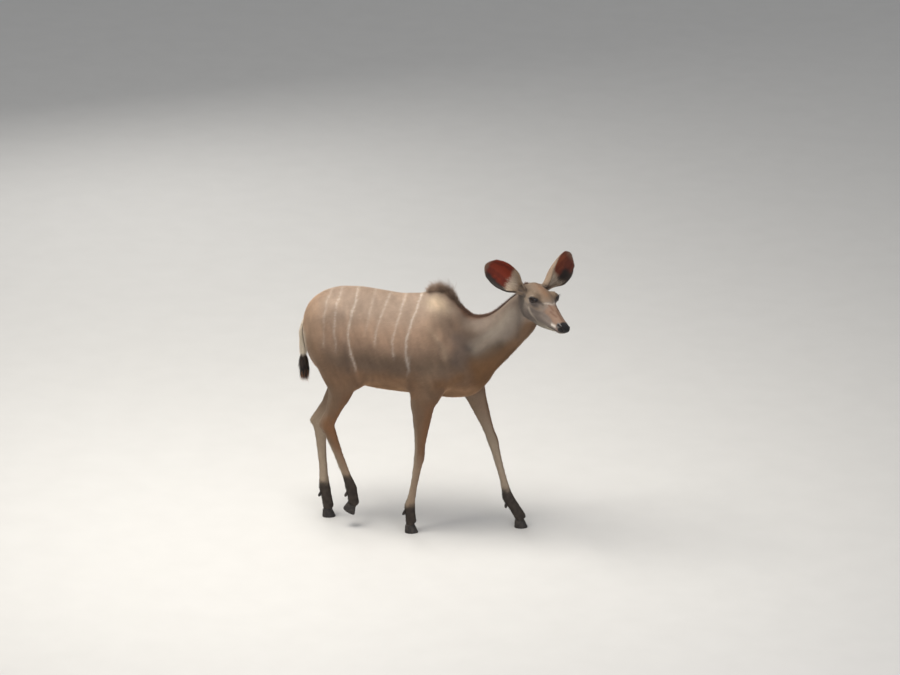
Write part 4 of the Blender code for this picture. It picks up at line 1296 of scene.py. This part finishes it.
def antelope_hair(name, roughness, sheen):
    """Hair of the coat: each tuft takes its colour from the hide at its root, is darker there and paler at
    its tip, and has the soft lustre of fine keratin fibres."""
    material, tree, surface = new_material(
        name,
        {
            "Roughness": roughness, "IOR": 1.55, "Specular IOR Level": 0.30,
            "Sheen Weight": sheen, "Sheen Roughness": 0.40,
        },
    )
    where = add_node(tree, "TexCoord").outputs["Object"]
    colour = add_node(tree, "Attribute", attribute_name="markings").outputs["Color"]
    # Fibres within a tuft, drawn 0.6 mm apart, since single hairs are far too fine to show.
    fibres = add_node(
        tree, "TexNoise", {"Scale": 1600.0, "Detail": 1.0, "Roughness": 0.5}, {"Vector": where}
    )
    tone = add_node(tree, "MapRange", {"To Min": 0.82, "To Max": 1.18}, {"Value": fibres.outputs["Fac"]})
    toned = add_node(tree, "VectorMath", links={0: colour, 1: tone.outputs[0]}, operation="MULTIPLY")
    bump = add_node(tree, "Bump", {"Strength": 0.25, "Distance": 0.0003}, {"Height": fibres.outputs["Fac"]})
    tree.links.new(toned.outputs[0], surface["Base Color"])
    tree.links.new(bump.outputs[0], surface["Normal"])
    return material


def antelope_eye():
    """A dark brown iris with fine radial fibres, a level oblong pupil and a blue-brown edge, under a wet
    clear cornea that gives sharp highlights."""
    material, tree, surface = new_material(
        "antelope_eye",
        {
            "Roughness": 0.18, "IOR": 1.38, "Specular IOR Level": 0.25,
            "Coat Weight": 1.0, "Coat IOR": 1.38, "Coat Roughness": 0.02,
        },
    )
    gaze = add_node(tree, "Attribute", attribute_name="gaze").outputs["Vector"]
    parts = add_node(tree, "SeparateXYZ", links={"Vector": gaze})
    flat = add_node(tree, "CombineXYZ", links={"X": parts.outputs["X"], "Y": parts.outputs["Y"]})
    radius = add_node(tree, "VectorMath", links={0: flat.outputs[0]}, operation="LENGTH")
    # The pupil is oblong, 14 mm by 7 mm, so its level length counts half.
    squeezed = add_node(
        tree, "VectorMath", {1: (0.50, 1.0, 0.0)}, {0: flat.outputs[0]}, operation="MULTIPLY"
    )
    pupil_reach = add_node(tree, "VectorMath", links={0: squeezed.outputs[0]}, operation="LENGTH")
    pupil = add_node(
        tree, "MapRange", {"From Min": 0.19, "From Max": 0.15}, {"Value": pupil_reach.outputs["Value"]}
    )
    way = add_node(tree, "VectorMath", links={0: flat.outputs[0]}, operation="NORMALIZE")
    fibres = add_node(  # about 150 fibres round the iris
        tree, "TexNoise", {"Scale": 26.0, "Detail": 4.0, "Roughness": 0.7}, {"Vector": way.outputs[0]}
    )
    brown = add_node(
        tree, "Mix", {"A": rgba("0E0805"), "B": rgba("34200F")}, {"Factor": fibres.outputs["Fac"]},
        data_type="RGBA",
    )
    edge = add_node(
        tree, "MapRange", {"From Min": 0.66, "From Max": 0.80}, {"Value": radius.outputs["Value"]}
    )
    rimmed = add_node(
        tree, "Mix", {"B": rgba("1B1C22")}, {"Factor": edge.outputs[0], "A": brown.outputs["Result"]},
        data_type="RGBA",
    )
    whole = add_node(
        tree, "Mix", {"B": rgba("060608")}, {"Factor": pupil.outputs[0], "A": rimmed.outputs["Result"]},
        data_type="RGBA",
    )
    tree.links.new(whole.outputs["Result"], surface["Base Color"])
    return material


def hoof_horn():
    """Dark horn of the hooves: dull and a little dusty, with growth rings and fine upright fibres, paler
    where the rim is worn."""
    material, tree, surface = new_material("hoof_horn", {"IOR": 1.54})
    where = add_node(tree, "TexCoord").outputs["Object"]
    rings = add_node(  # a growth ring every 4 mm
        tree, "TexWave", {"Scale": 78.0, "Distortion": 2.2, "Detail": 2.0}, {"Vector": where},
        wave_type="BANDS", bands_direction="Z",
    )
    upright = add_node(tree, "Mapping", {"Scale": (1400, 1400, 120)}, {"Vector": where})
    fibres = add_node(tree, "TexNoise", {"Scale": 1.0, "Detail": 2.0}, {"Vector": upright.outputs[0]})
    dust = add_node(tree, "TexNoise", {"Scale": 70.0, "Detail": 5.0, "Roughness": 0.65}, {"Vector": where})
    worn = add_node(tree, "MapRange", {"From Min": 0.50, "From Max": 0.74}, {"Value": dust.outputs["Fac"]})
    horn = add_node(
        tree, "Mix", {"A": rgba("151110"), "B": rgba("2B2420")}, {"Factor": rings.outputs["Fac"]},
        data_type="RGBA",
    )
    dusted = add_node(
        tree, "Mix", {"B": rgba("4C4238")}, {"Factor": worn.outputs[0], "A": horn.outputs["Result"]},
        data_type="RGBA",
    )
    height = add_node(
        tree, "Math", {1: 0.6}, {0: rings.outputs["Fac"], 2: fibres.outputs["Fac"]},
        operation="MULTIPLY_ADD",
    )
    bump = add_node(tree, "Bump", {"Strength": 0.35, "Distance": 0.0005}, {"Height": height.outputs[0]})
    rough = add_node(tree, "MapRange", {"To Min": 0.42, "To Max": 0.70}, {"Value": dust.outputs["Fac"]})
    tree.links.new(dusted.outputs["Result"], surface["Base Color"])
    tree.links.new(rough.outputs[0], surface["Roughness"])
    tree.links.new(bump.outputs[0], surface["Normal"])
    return material


def studio_floor():
    """Pale matt paper, with a faint mottle."""
    material, tree, surface = new_material("pale_paper", {"Roughness": 0.9})
    where = add_node(tree, "TexCoord").outputs["Object"]
    mottle = add_node(tree, "TexNoise", {"Scale": 6.0, "Detail": 3.0}, {"Vector": where})
    tone = add_node(
        tree, "Mix", {"A": rgba("CDCCC9"), "B": rgba("D3D2CF")}, {"Factor": mottle.outputs["Fac"]},
        data_type="RGBA",
    )
    tree.links.new(tone.outputs["Result"], surface["Base Color"])
    return material


# -------------------------------------------------------------------- the tufts

def blade(stretches):
    """One tuft's pattern: a narrow sheet with a raised middle, brought to a point. Gives each point's stretch
    along it and place across it, and the faces."""
    bm = bmesh.new()
    bmesh.ops.create_grid(bm, x_segments=2, y_segments=stretches, size=0.5)
    tip = [v for v in bm.verts if v.co.y > 0.499]
    bmesh.ops.pointmerge(bm, verts=tip, merge_co=(0.0, 0.5, 0.0))
    bm.verts.index_update()
    steps = np.array([round((v.co.y + 0.5) * stretches) for v in bm.verts])
    across = np.array([round(v.co.x * 2) for v in bm.verts])
    faces = [[v.index for v in face.verts] for face in bm.faces]
    bm.free()
    return steps, across, faces


FINE_BLADE = blade(1)  # for the short coat, where single tufts hardly show
SHORT_BLADE = blade(2)
LOCK_BLADE = blade(5)
ROOT_TONE = 0.86  # a tuft's tone at its root, against the skin's there
ROOT_DEPTH = 0.5 * MM  # how far below the skin a tuft starts


def strands(
    name, found, pattern, material, rng, rise, settle=0.5, droop=0.0, stray=10.0, tip_tone=1.10,
):
    """Grows one tuft from each root: it leaves the skin at the rise angle, settles towards its lie as it
    goes, droops by its weight, and narrows to its tip. Rise and stray, its spread to the sides, are in
    degrees."""
    steps, across, faces = pattern
    count = len(found["places"])
    ways, normals = found["ways"], found["normals"]
    turn = np.radians(rng.normal(0.0, stray, count))[:, None]
    sides = np.cross(normals, ways)
    lie = ways * np.cos(turn) + sides * np.sin(turn)
    sides = np.cross(normals, lie)
    angle = np.radians(rise * rng.uniform(0.6, 1.4, count))[:, None]
    way = lie * np.cos(angle) + normals * np.sin(angle)
    length = found["length"] * rng.uniform(0.72, 1.22, count)
    width = found["width"] * rng.uniform(0.75, 1.25, count)
    last = steps.max()
    spine = [found["places"] - normals * ROOT_DEPTH]
    lifts = [normals]
    for _ in range(last):
        spine.append(spine[-1] + way * (length / last)[:, None])
        pull = lie * np.cos(angle * 0.2) - normals * np.sin(angle * 0.9)
        way = unit(way + settle * (pull - way) / last * 2 + np.array((0.0, 0.0, -droop / last)))
        lifts.append(unit(np.cross(way, sides)))
    taper = 1 - (steps / last) ** 1.6
    places = np.empty((count, len(steps), 3), np.float32)
    for k, (step, place) in enumerate(zip(steps, across)):
        out = 0.30 * (1 - abs(place)) * (1 - step / last)
        aside = sides * (place * 0.5 * taper[k] * width)[:, None]
        places[:, k] = spine[step] + aside + lifts[step] * (out * width)[:, None]
    along = (ROOT_TONE + (tip_tone - ROOT_TONE) * steps / last)[None, :, None]
    tone = along * rng.normal(1.0, 0.07, count)[:, None, None]
    colours = np.clip(found["colours"][:, None] * tone, 0, 1)
    colours = np.concatenate([colours, np.ones((count, len(steps), 1))], 2)

    mesh = bpy.data.meshes.new(name)
    corners = np.concatenate([np.array(face) for face in faces])
    starts = np.cumsum([0] + [len(face) for face in faces[:-1]])
    shift = np.arange(count)[:, None]
    all_corners = (corners + shift * len(steps)).ravel()
    mesh.vertices.add(count * len(steps))
    mesh.vertices.foreach_set("co", places.ravel())
    mesh.loops.add(len(all_corners))
    mesh.loops.foreach_set("vertex_index", all_corners.astype(np.int32))
    mesh.polygons.add(count * len(faces))
    mesh.polygons.foreach_set("loop_start", (starts + shift * len(corners)).ravel().astype(np.int32))
    mesh.update(calc_edges=True)
    mesh.shade_smooth()
    tints = mesh.attributes.new("markings", "FLOAT_COLOR", "POINT")
    tints.data.foreach_set("color", colours.astype(np.float32).ravel())
    patch = np.stack([across * 0.5 * PATCH, (steps / last - 0.5) * PATCH], 1)
    flat = np.clip(found["flat"][:, None] + patch[None], 0.0, 1.0)[:, corners].reshape(-1, 2)
    mesh.uv_layers.new(name="OFBake").uv.foreach_set("vector", flat.astype(np.float32).ravel())
    mesh.materials.append(material)
    return placed(name, mesh)


def joined(name, objects):
    """Several meshes of tufts as one piece."""
    bpy.ops.object.select_all(action="DESELECT")
    for obj in objects:
        obj.select_set(True)
    bpy.context.view_layer.objects.active = objects[0]
    bpy.ops.object.join()
    objects[0].name = name
    objects[0].select_set(False)
    return objects[0]


# ------------------------------------------------------------- the short coat

# Each piece of the coat: the nodes whose skin it covers, the side of the trunk (0 for both) and its tufts.
COAT = (
    ("coat_trunk_left", ("trunk",), 1, 92000),
    ("coat_trunk_right", ("trunk",), -1, 92000),
    ("coat_neck", ("neck",), 0, 80000),
    ("coat_head", ("head",), 0, 86000),
    ("coat_ears", EARS, 0, 60000),
    ("coat_front_legs", LEGS[:2], 0, 84000),
    ("coat_hind_legs", LEGS[2:], 0, 84000),
)


def short_coat(ground, material):
    """Short flat tufts all over the animal, in pieces that share the skin's markings."""
    pieces = []
    for number, (name, nodes, side, count) in enumerate(COAT):
        rng = np.random.default_rng(100 + number)
        belongs = np.clip(sum(ground.shares[node] for node in nodes), 0, 1)
        wanted = ground.density * smooth_step(belongs, 0.05, 0.95)
        if side:
            wanted = wanted * ((ground.places[:, 1] - MIDLINE) * side > 0)
        if name == "coat_trunk_right":  # the tail's short hair goes with this piece
            wanted = wanted + ground.density * 0.6 * ground.shares["tail"]
        found = ground.roots(wanted, count, rng)
        pieces.append(strands(name, found, FINE_BLADE, material, rng, rise=8.5, stray=11.0))
    return pieces


# --------------------------------------------------------------- the long hair

CLUMP = 9.5 * MM  # the size of the clumps that the mane parts into
NAPE_LINE = (  # x and y of the crest's middle
    (0.050, 0.0540), (0.165, 0.0515), (0.240, 0.0450), (0.310, 0.0365),
    (0.370, 0.0265), (0.415, 0.0130), (0.455, -0.0040),
)
FEELER_LINE = ((0.195, 0.028, -0.036), (0.160, 0.034, -0.058))  # along the lips, in the head's frame


def locks_of_hair(
    ground, wanted, count, rng, material, pattern, way=None, length=None, width=None, colours=None,
    clumping=0.0, **growth,
):
    """Tufts with their own lie, length in metres (a number, or a rule for the places of the roots), width or
    pair of colours in place of the skin's."""
    found = ground.roots(wanted, count, rng)
    if way is not None:
        way = np.broadcast_to(np.asarray(way, float), found["places"].shape)
        out = (way * found["normals"]).sum(1)[:, None]
        found["ways"] = unit(way - found["normals"] * out * 0.8)  # keeps a way where the skin faces along it
    if length is not None:
        found["length"] = length(found["places"]) if callable(length) else np.full(count, length)
    if width is not None:
        found["width"] = np.full(count, width)
    if colours is not None:
        share = rng.random(count)[:, None]
        first, second = (linear(COLOURS[name]) for name in colours)
        found["colours"] = first * (1 - share) + second * share
    if clumping:
        astray = np.stack([cloudy(found["places"], CLUMP, 32 + k) for k in range(3)], 1)
        found["ways"] = unit(found["ways"] + clumping * astray)
    return strands("lock", found, pattern, material, rng, **growth)


def withers_mane(ground, material):
    """The loose upright mane over the withers, which leans back and parts at its tips."""
    rng = np.random.default_rng(21)
    x, y, z = ground.places.T
    top = smooth_step(ground.normals[:, 2], 0.25, 0.60) * (z > 1.02)
    line = (1 - smooth_step(np.abs(y - (MIDLINE - 0.02 * (x - 0.02))), 0.006, 0.020)) * top
    line = line * smooth_step(x, -0.060, -0.024) * (1 - smooth_step(x, 0.075, 0.118))

    def length(places):
        """Longest over the hump, and uneven from clump to clump."""
        return (0.016 + 0.042 * hump(places[:, 0], 0.030, 0.060)) * (1 + 0.60 * cloudy(places, 0.0085, 31))

    locks = [
        locks_of_hair(
            ground, line, count, rng, material, LOCK_BLADE, way=(-0.70, tilt, 0.42), length=length,
            width=1.7 * MM, colours=("mane", "nape"), clumping=0.60,
            rise=56.0, settle=0.40, stray=16.0, tip_tone=1.45,
        )
        for tilt, count in ((0.0, 620), (0.6, 390), (-0.6, 390))
    ]
    return joined("mane_of_the_withers", locks)


def nape_mane(ground, material):
    """The short dark crest along the nape, from the withers to between the ears."""
    rng = np.random.default_rng(22)
    x, y, z = ground.places.T
    middle = np.interp(x, *zip(*NAPE_LINE))
    line = (1 - smooth_step(np.abs(y - middle), 0.007, 0.017)) * smooth_step(ground.normals[:, 2], 0.15, 0.5)
    line = line * smooth_step(x, 0.072, 0.105) * (1 - smooth_step(x, 0.405, 0.440)) * (z > 0.95)

    def length(places):
        return 0.014 + 0.008 * hump(places[:, 0], 0.34, 0.11)

    locks = [
        locks_of_hair(
            ground, line, count, rng, material, LOCK_BLADE, way=(-0.75, tilt, -0.45), length=length,
            width=1.8 * MM, colours=("mane_dark", "crest"), rise=50.0, settle=0.35, stray=14.0, tip_tone=1.05,
        )
        for tilt, count in ((0.0, 1500), (0.5, 900), (-0.5, 900))
    ]
    return joined("mane_of_the_nape", locks)


def tail_brush(ground, material):
    """Long hair down the tail: pale along its sides, black at its end, with a few rusty hairs below."""
    rng = np.random.default_rng(23)
    z = ground.places[:, 2]
    tail = smooth_step(ground.shares["tail"], 0.5, 0.9)
    locks = [
        locks_of_hair(
            ground, tail * (z > low) * (z < high), count, rng, material, LOCK_BLADE, way=(0, 0, -1),
            length=length, width=2.0 * MM, colours=colours, rise=30.0, settle=0.50, droop=0.4, stray=9.0,
        )
        for low, high, count, colours, length in (
            (0.84, 1.00, 1800, ("tail_pale", "tail_pale"), 0.040),
            (0.765, 0.815, 2000, ("tail_black", "mane_dark"), 0.056),
            (0.735, 0.790, 2600, ("tail_black", "tail_black"), 0.060),
            (0.735, 0.770, 150, ("tail_tip", "rust"), 0.074),
        )
    ]
    return joined("tail_hair", locks)


def ear_hair(ground, material):
    """Pale hair in the mouth of each ear, and a fine fringe along its rims."""
    rng = np.random.default_rng(24)
    locks = []
    for node in EARS:
        share, across, inside = ear_places(ground.places, node)
        on_ear = smooth_step(ground.shares[node], 0.4, 0.8)
        mouth = on_ear * (inside > 0) * smooth_step(share, 0.05, 0.12) * (1 - smooth_step(share, 0.20, 0.30))
        rims = on_ear * (np.abs(across) > 0.90) * (share > 0.12)
        along = ear_frame(node)[1]
        locks.append(locks_of_hair(
            ground, mouth * (np.abs(across) < 0.85), 520, rng, material, LOCK_BLADE, way=along,
            length=0.026, width=1.1 * MM, colours=("ear_pale", "tail_pale"),
            rise=38.0, settle=0.6, stray=16.0,
        ))
        locks.append(locks_of_hair(
            ground, rims, 1500, rng, material, SHORT_BLADE, length=0.009, width=0.9 * MM,
            rise=14.0, settle=0.5, stray=10.0,
        ))
    return joined("ear_hair", locks)


def loose_hair(ground, material):
    """Longer hair where the coat breaks the outline: under the throat, along the belly, down the backs of
    the legs and the heels, and over the coronets."""
    rng = np.random.default_rng(25)
    y, z = ground.places[:, 1], ground.places[:, 2]
    forward, up = ground.normals[:, 0], ground.normals[:, 2]
    throat = ground.shares["neck"] * smooth_step(forward, 0.45, 0.85) * (np.abs(y - 0.03) < 0.06)
    belly = ground.shares["trunk"] * smooth_step(up, -0.35, -0.8)
    backs = sum(ground.shares[leg] for leg in LEGS) * smooth_step(forward, -0.6, -0.9)
    coronets = smooth_step(distance_to_nodes(ground.places, CLAWS, 0.020), 0.015, 0.006)
    coronets = coronets * smooth_step(up, -0.75, -0.45)
    locks = [
        locks_of_hair(
            ground, wanted, count, rng, material, SHORT_BLADE, length=length, width=1.5 * MM,
            rise=rise, settle=0.6, droop=0.3, stray=12.0,
        )
        for wanted, count, length, rise in (
            (throat, 2200, 0.030, 16.0),
            (belly, 2600, 0.028, 12.0),
            (backs * (z > 0.3), 1800, 0.022, 14.0),
            (backs * (z < 0.22), 900, 0.016, 20.0),
            (coronets, 5200, 0.013, 9.0),
        )
    ]
    return joined("loose_hair", locks)


def eyelashes(ground, material):
    """Dark lashes along the upper lids, turned up and out, and a few long feeler hairs round the lips."""
    rng = np.random.default_rng(26)
    locks = []
    for node in EYES:
        _, b, out, across, outside = eye_places(ground.places, node)
        edge = (out > 0) & (across < 0.030) & (b > 0.004) & (np.abs(outside - 1.0 * MM) < 0.9 * MM)
        _, looks, _, over = eye_frame(node)
        locks.append(locks_of_hair(
            ground, edge.astype(float), 80, rng, material, LOCK_BLADE, way=over * 0.55 + looks * 0.45,
            length=0.010, width=0.45 * MM, colours=("tail_black", "lid"),
            rise=55.0, settle=-0.3, stray=14.0, tip_tone=1.0,
        ))
    folded = mirrored(in_head(ground.places))
    lips = (ground.shares["head"] > 0.9) * around(distance_to_line(folded, FEELER_LINE), 0.012)
    locks.append(locks_of_hair(
        ground, lips, 46, rng, material, LOCK_BLADE, length=0.020, width=0.25 * MM,
        colours=("lid", "mane_dark"), rise=50.0, settle=0.1, stray=25.0,
    ))
    return joined("lashes_and_feelers", locks)


# ---------------------------------------------------------- the eyes and hooves

CORNEA_RISE = 1.0 * MM
CORNEA_REACH = 0.72  # of the ball's radius
HOOF_VOXEL = {"claw": 1.5 * MM, "dewclaw": 1.0 * MM}
GROWTH_RING = 4.0 * MM


def eyeball(node, material):
    """A ball with a slightly raised cornea, that knows which way it looks."""
    middle, looks, along, over = eye_frame(node)
    bm = bmesh.new()
    bmesh.ops.create_uvsphere(bm, u_segments=56, v_segments=40, radius=EYE_BALL)
    for vert in bm.verts:
        rim = math.hypot(vert.co.x, vert.co.y) / EYE_BALL
        if vert.co.z > 0:
            vert.co.z += CORNEA_RISE * max(0.0, 1 - (rim / CORNEA_REACH) ** 2)
    turn = Matrix((Vector(along), Vector(over), Vector(looks))).transposed()
    flat = [vert.co / EYE_BALL for vert in bm.verts]
    if turn.determinant() < 0:
        bmesh.ops.reverse_faces(bm, faces=bm.faces)
    bmesh.ops.transform(bm, matrix=Matrix.Translation(Vector(middle)) @ turn.to_4x4(), verts=bm.verts)
    ball = object_of(node.replace("eye", "eyeball"), bm, material)
    gaze = ball.data.attributes.new("gaze", "FLOAT_VECTOR", "POINT")
    gaze.data.foreach_set("vector", np.array(flat, np.float32).ravel())
    return ball


def hoof(node, material):
    """A finer copy of a claw's solid with its edges rounded and its wall ringed by growth."""
    bm = bmesh.new()
    bm.from_mesh(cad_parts[node].data)
    bmesh.ops.remove_doubles(bm, verts=bm.verts, dist=0.02 * MM)
    claw = object_of(node.replace("claw", "hoof"), bm)
    remesh = claw.modifiers.new("remesh", "REMESH")
    remesh.mode = "VOXEL"
    remesh.voxel_size = HOOF_VOXEL[node.split("_")[0]]
    applied(claw)
    mesh = claw.data
    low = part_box(node)[0].z
    points = relaxed(places_of(mesh), edges_of(mesh), 4, 0.4)
    normals = normals_of(mesh)
    rings = 0.12 * MM * np.sin((points[:, 2] - low) / GROWTH_RING * 2 * math.pi)
    wall = smooth_step(1 - np.abs(normals[:, 2]), 0.4, 0.8)
    points += normals * (rings * wall)[:, None]
    points[:, 2] = np.maximum(points[:, 2], low)
    set_places(mesh, points)
    give_finish(mesh, material)
    return claw


# ---------------------------------------------------------------------- build

def built_skin(material):
    """The whole skin with its markings, and what the coat needs to know of it."""
    skin = fused_flesh()
    lay_in(skin)
    shape_head(skin)
    put_on_ears(skin)
    unwrap(skin)
    mesh = skin.data
    give_finish(mesh, material)
    shares = shares_of_nodes(mesh, FLESH + EARS + ("tail",), 4)
    colours, bare = markings_at(places_of(mesh), normals_of(mesh), shares)
    tints = mesh.attributes.new("markings", "FLOAT_COLOR", "POINT")
    opaque = np.concatenate([np.clip(colours, 0, 1), np.ones((len(colours), 1))], 1)
    tints.data.foreach_set("color", opaque.astype(np.float32).ravel())
    for name, values in (("bare", bare), ("on_leg", on_legs(shares))):
        mesh.attributes.new(name, "FLOAT", "POINT").data.foreach_set("value", values.astype(np.float32))
    return skin, Ground(skin, shares, bare)


hide = short_haired_hide()
short_hair = antelope_hair("short_coat_hair", roughness=0.62, sheen=0.10)
long_hair = antelope_hair("long_mane_hair", roughness=0.50, sheen=0.06)
eye_surface = antelope_eye()
horn = hoof_horn()

skin, ground = built_skin(hide)
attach(skin, "root")
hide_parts(*SKIN_STANDS_FOR)

for piece in short_coat(ground, short_hair):
    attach(piece, "root")

withers = withers_mane(ground, long_hair)
nape = nape_mane(ground, long_hair)
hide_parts("mane_hump")
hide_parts("mane_neck")
for piece in (
    withers, nape, tail_brush(ground, long_hair), ear_hair(ground, long_hair),
    loose_hair(ground, long_hair), eyelashes(ground, long_hair),
):
    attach(piece, "root")

for node in EYES:
    ball = eyeball(node, eye_surface)
    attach(ball, "root")
    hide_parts(node)

for node in CLAWS + DEW_CLAWS:
    claw = hoof(node, horn)
    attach(claw, "root")
    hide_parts(node)


# --------------------------------------------------------------------- studio

SOFTBOXES = (  # name, place, side in metres, power in watts and colour
    ("softbox_above", (-1.2, -0.6, 4.6), 2.4, 255, "FFFAF2"),
    ("softbox_front", (3.8, -5.0, 2.6), 2.6, 85, "F8F8FF"),
    ("softbox_back", (-3.0, 5.0, 3.0), 2.6, 70, "FFFCF8"),
)
LIGHTS_AIM = (0.0, 0.05, 0.75)
AIR_STRENGTH = 0.47  # of the even light from all around


def add_softbox(name, place, size, power, colour):
    """A square area light that looks at the middle of the animal."""
    light = bpy.data.lights.new(name, "AREA")
    light.shape = "SQUARE"
    light.size = size
    light.energy = power
    light.color = linear(colour)
    way = Vector(LIGHTS_AIM) - Vector(place)
    turn = way.to_track_quat("-Z", "Y").to_matrix().to_4x4()
    placed(name, light).matrix_world = Matrix.Translation(place) @ turn


def set_studio():
    """A paper floor, three softboxes and even light from all around."""
    bm = bmesh.new()
    bmesh.ops.create_grid(bm, x_segments=1, y_segments=1, size=60.0)
    floor = object_of("floor", bm, studio_floor())
    for softbox in SOFTBOXES:
        add_softbox(*softbox)
    world = bpy.data.worlds.new("studio_air")
    world.use_nodes = True
    air = world.node_tree.nodes["Background"].inputs
    air["Color"].default_value = rgba("E2E4E8")
    air["Strength"].default_value = AIR_STRENGTH
    bpy.context.scene.world = world
    bpy.context.scene.view_settings.view_transform = "Standard"


CAMERA_SWING = 11.0  # degrees round towards the head
CAMERA_HEIGHT = 20.0  # degrees above the level
CAMERA_DISTANCE = 25.0
CAMERA_AIM = Vector((-0.0110, 0.3832, 0.8210))


def set_camera():
    """Looks down a little at the animal's right side, from far off."""
    swing, height = math.radians(CAMERA_SWING), math.radians(CAMERA_HEIGHT)
    across = Vector((math.cos(swing), math.sin(swing), 0.0))
    back = Vector((math.sin(swing) * math.cos(height), -math.cos(swing) * math.cos(height), math.sin(height)))
    over = back.cross(across)
    camera_data = bpy.data.cameras.new("camera")
    camera_data.sensor_width = 36.0
    camera_data.lens = 214.6
    camera_data.clip_end = 200.0
    camera = placed("camera", camera_data)
    turn = Matrix((across, over, back)).transposed().to_4x4()
    camera.matrix_world = Matrix.Translation(CAMERA_AIM + back * CAMERA_DISTANCE) @ turn
    bpy.context.scene.camera = camera


set_studio()
set_camera()
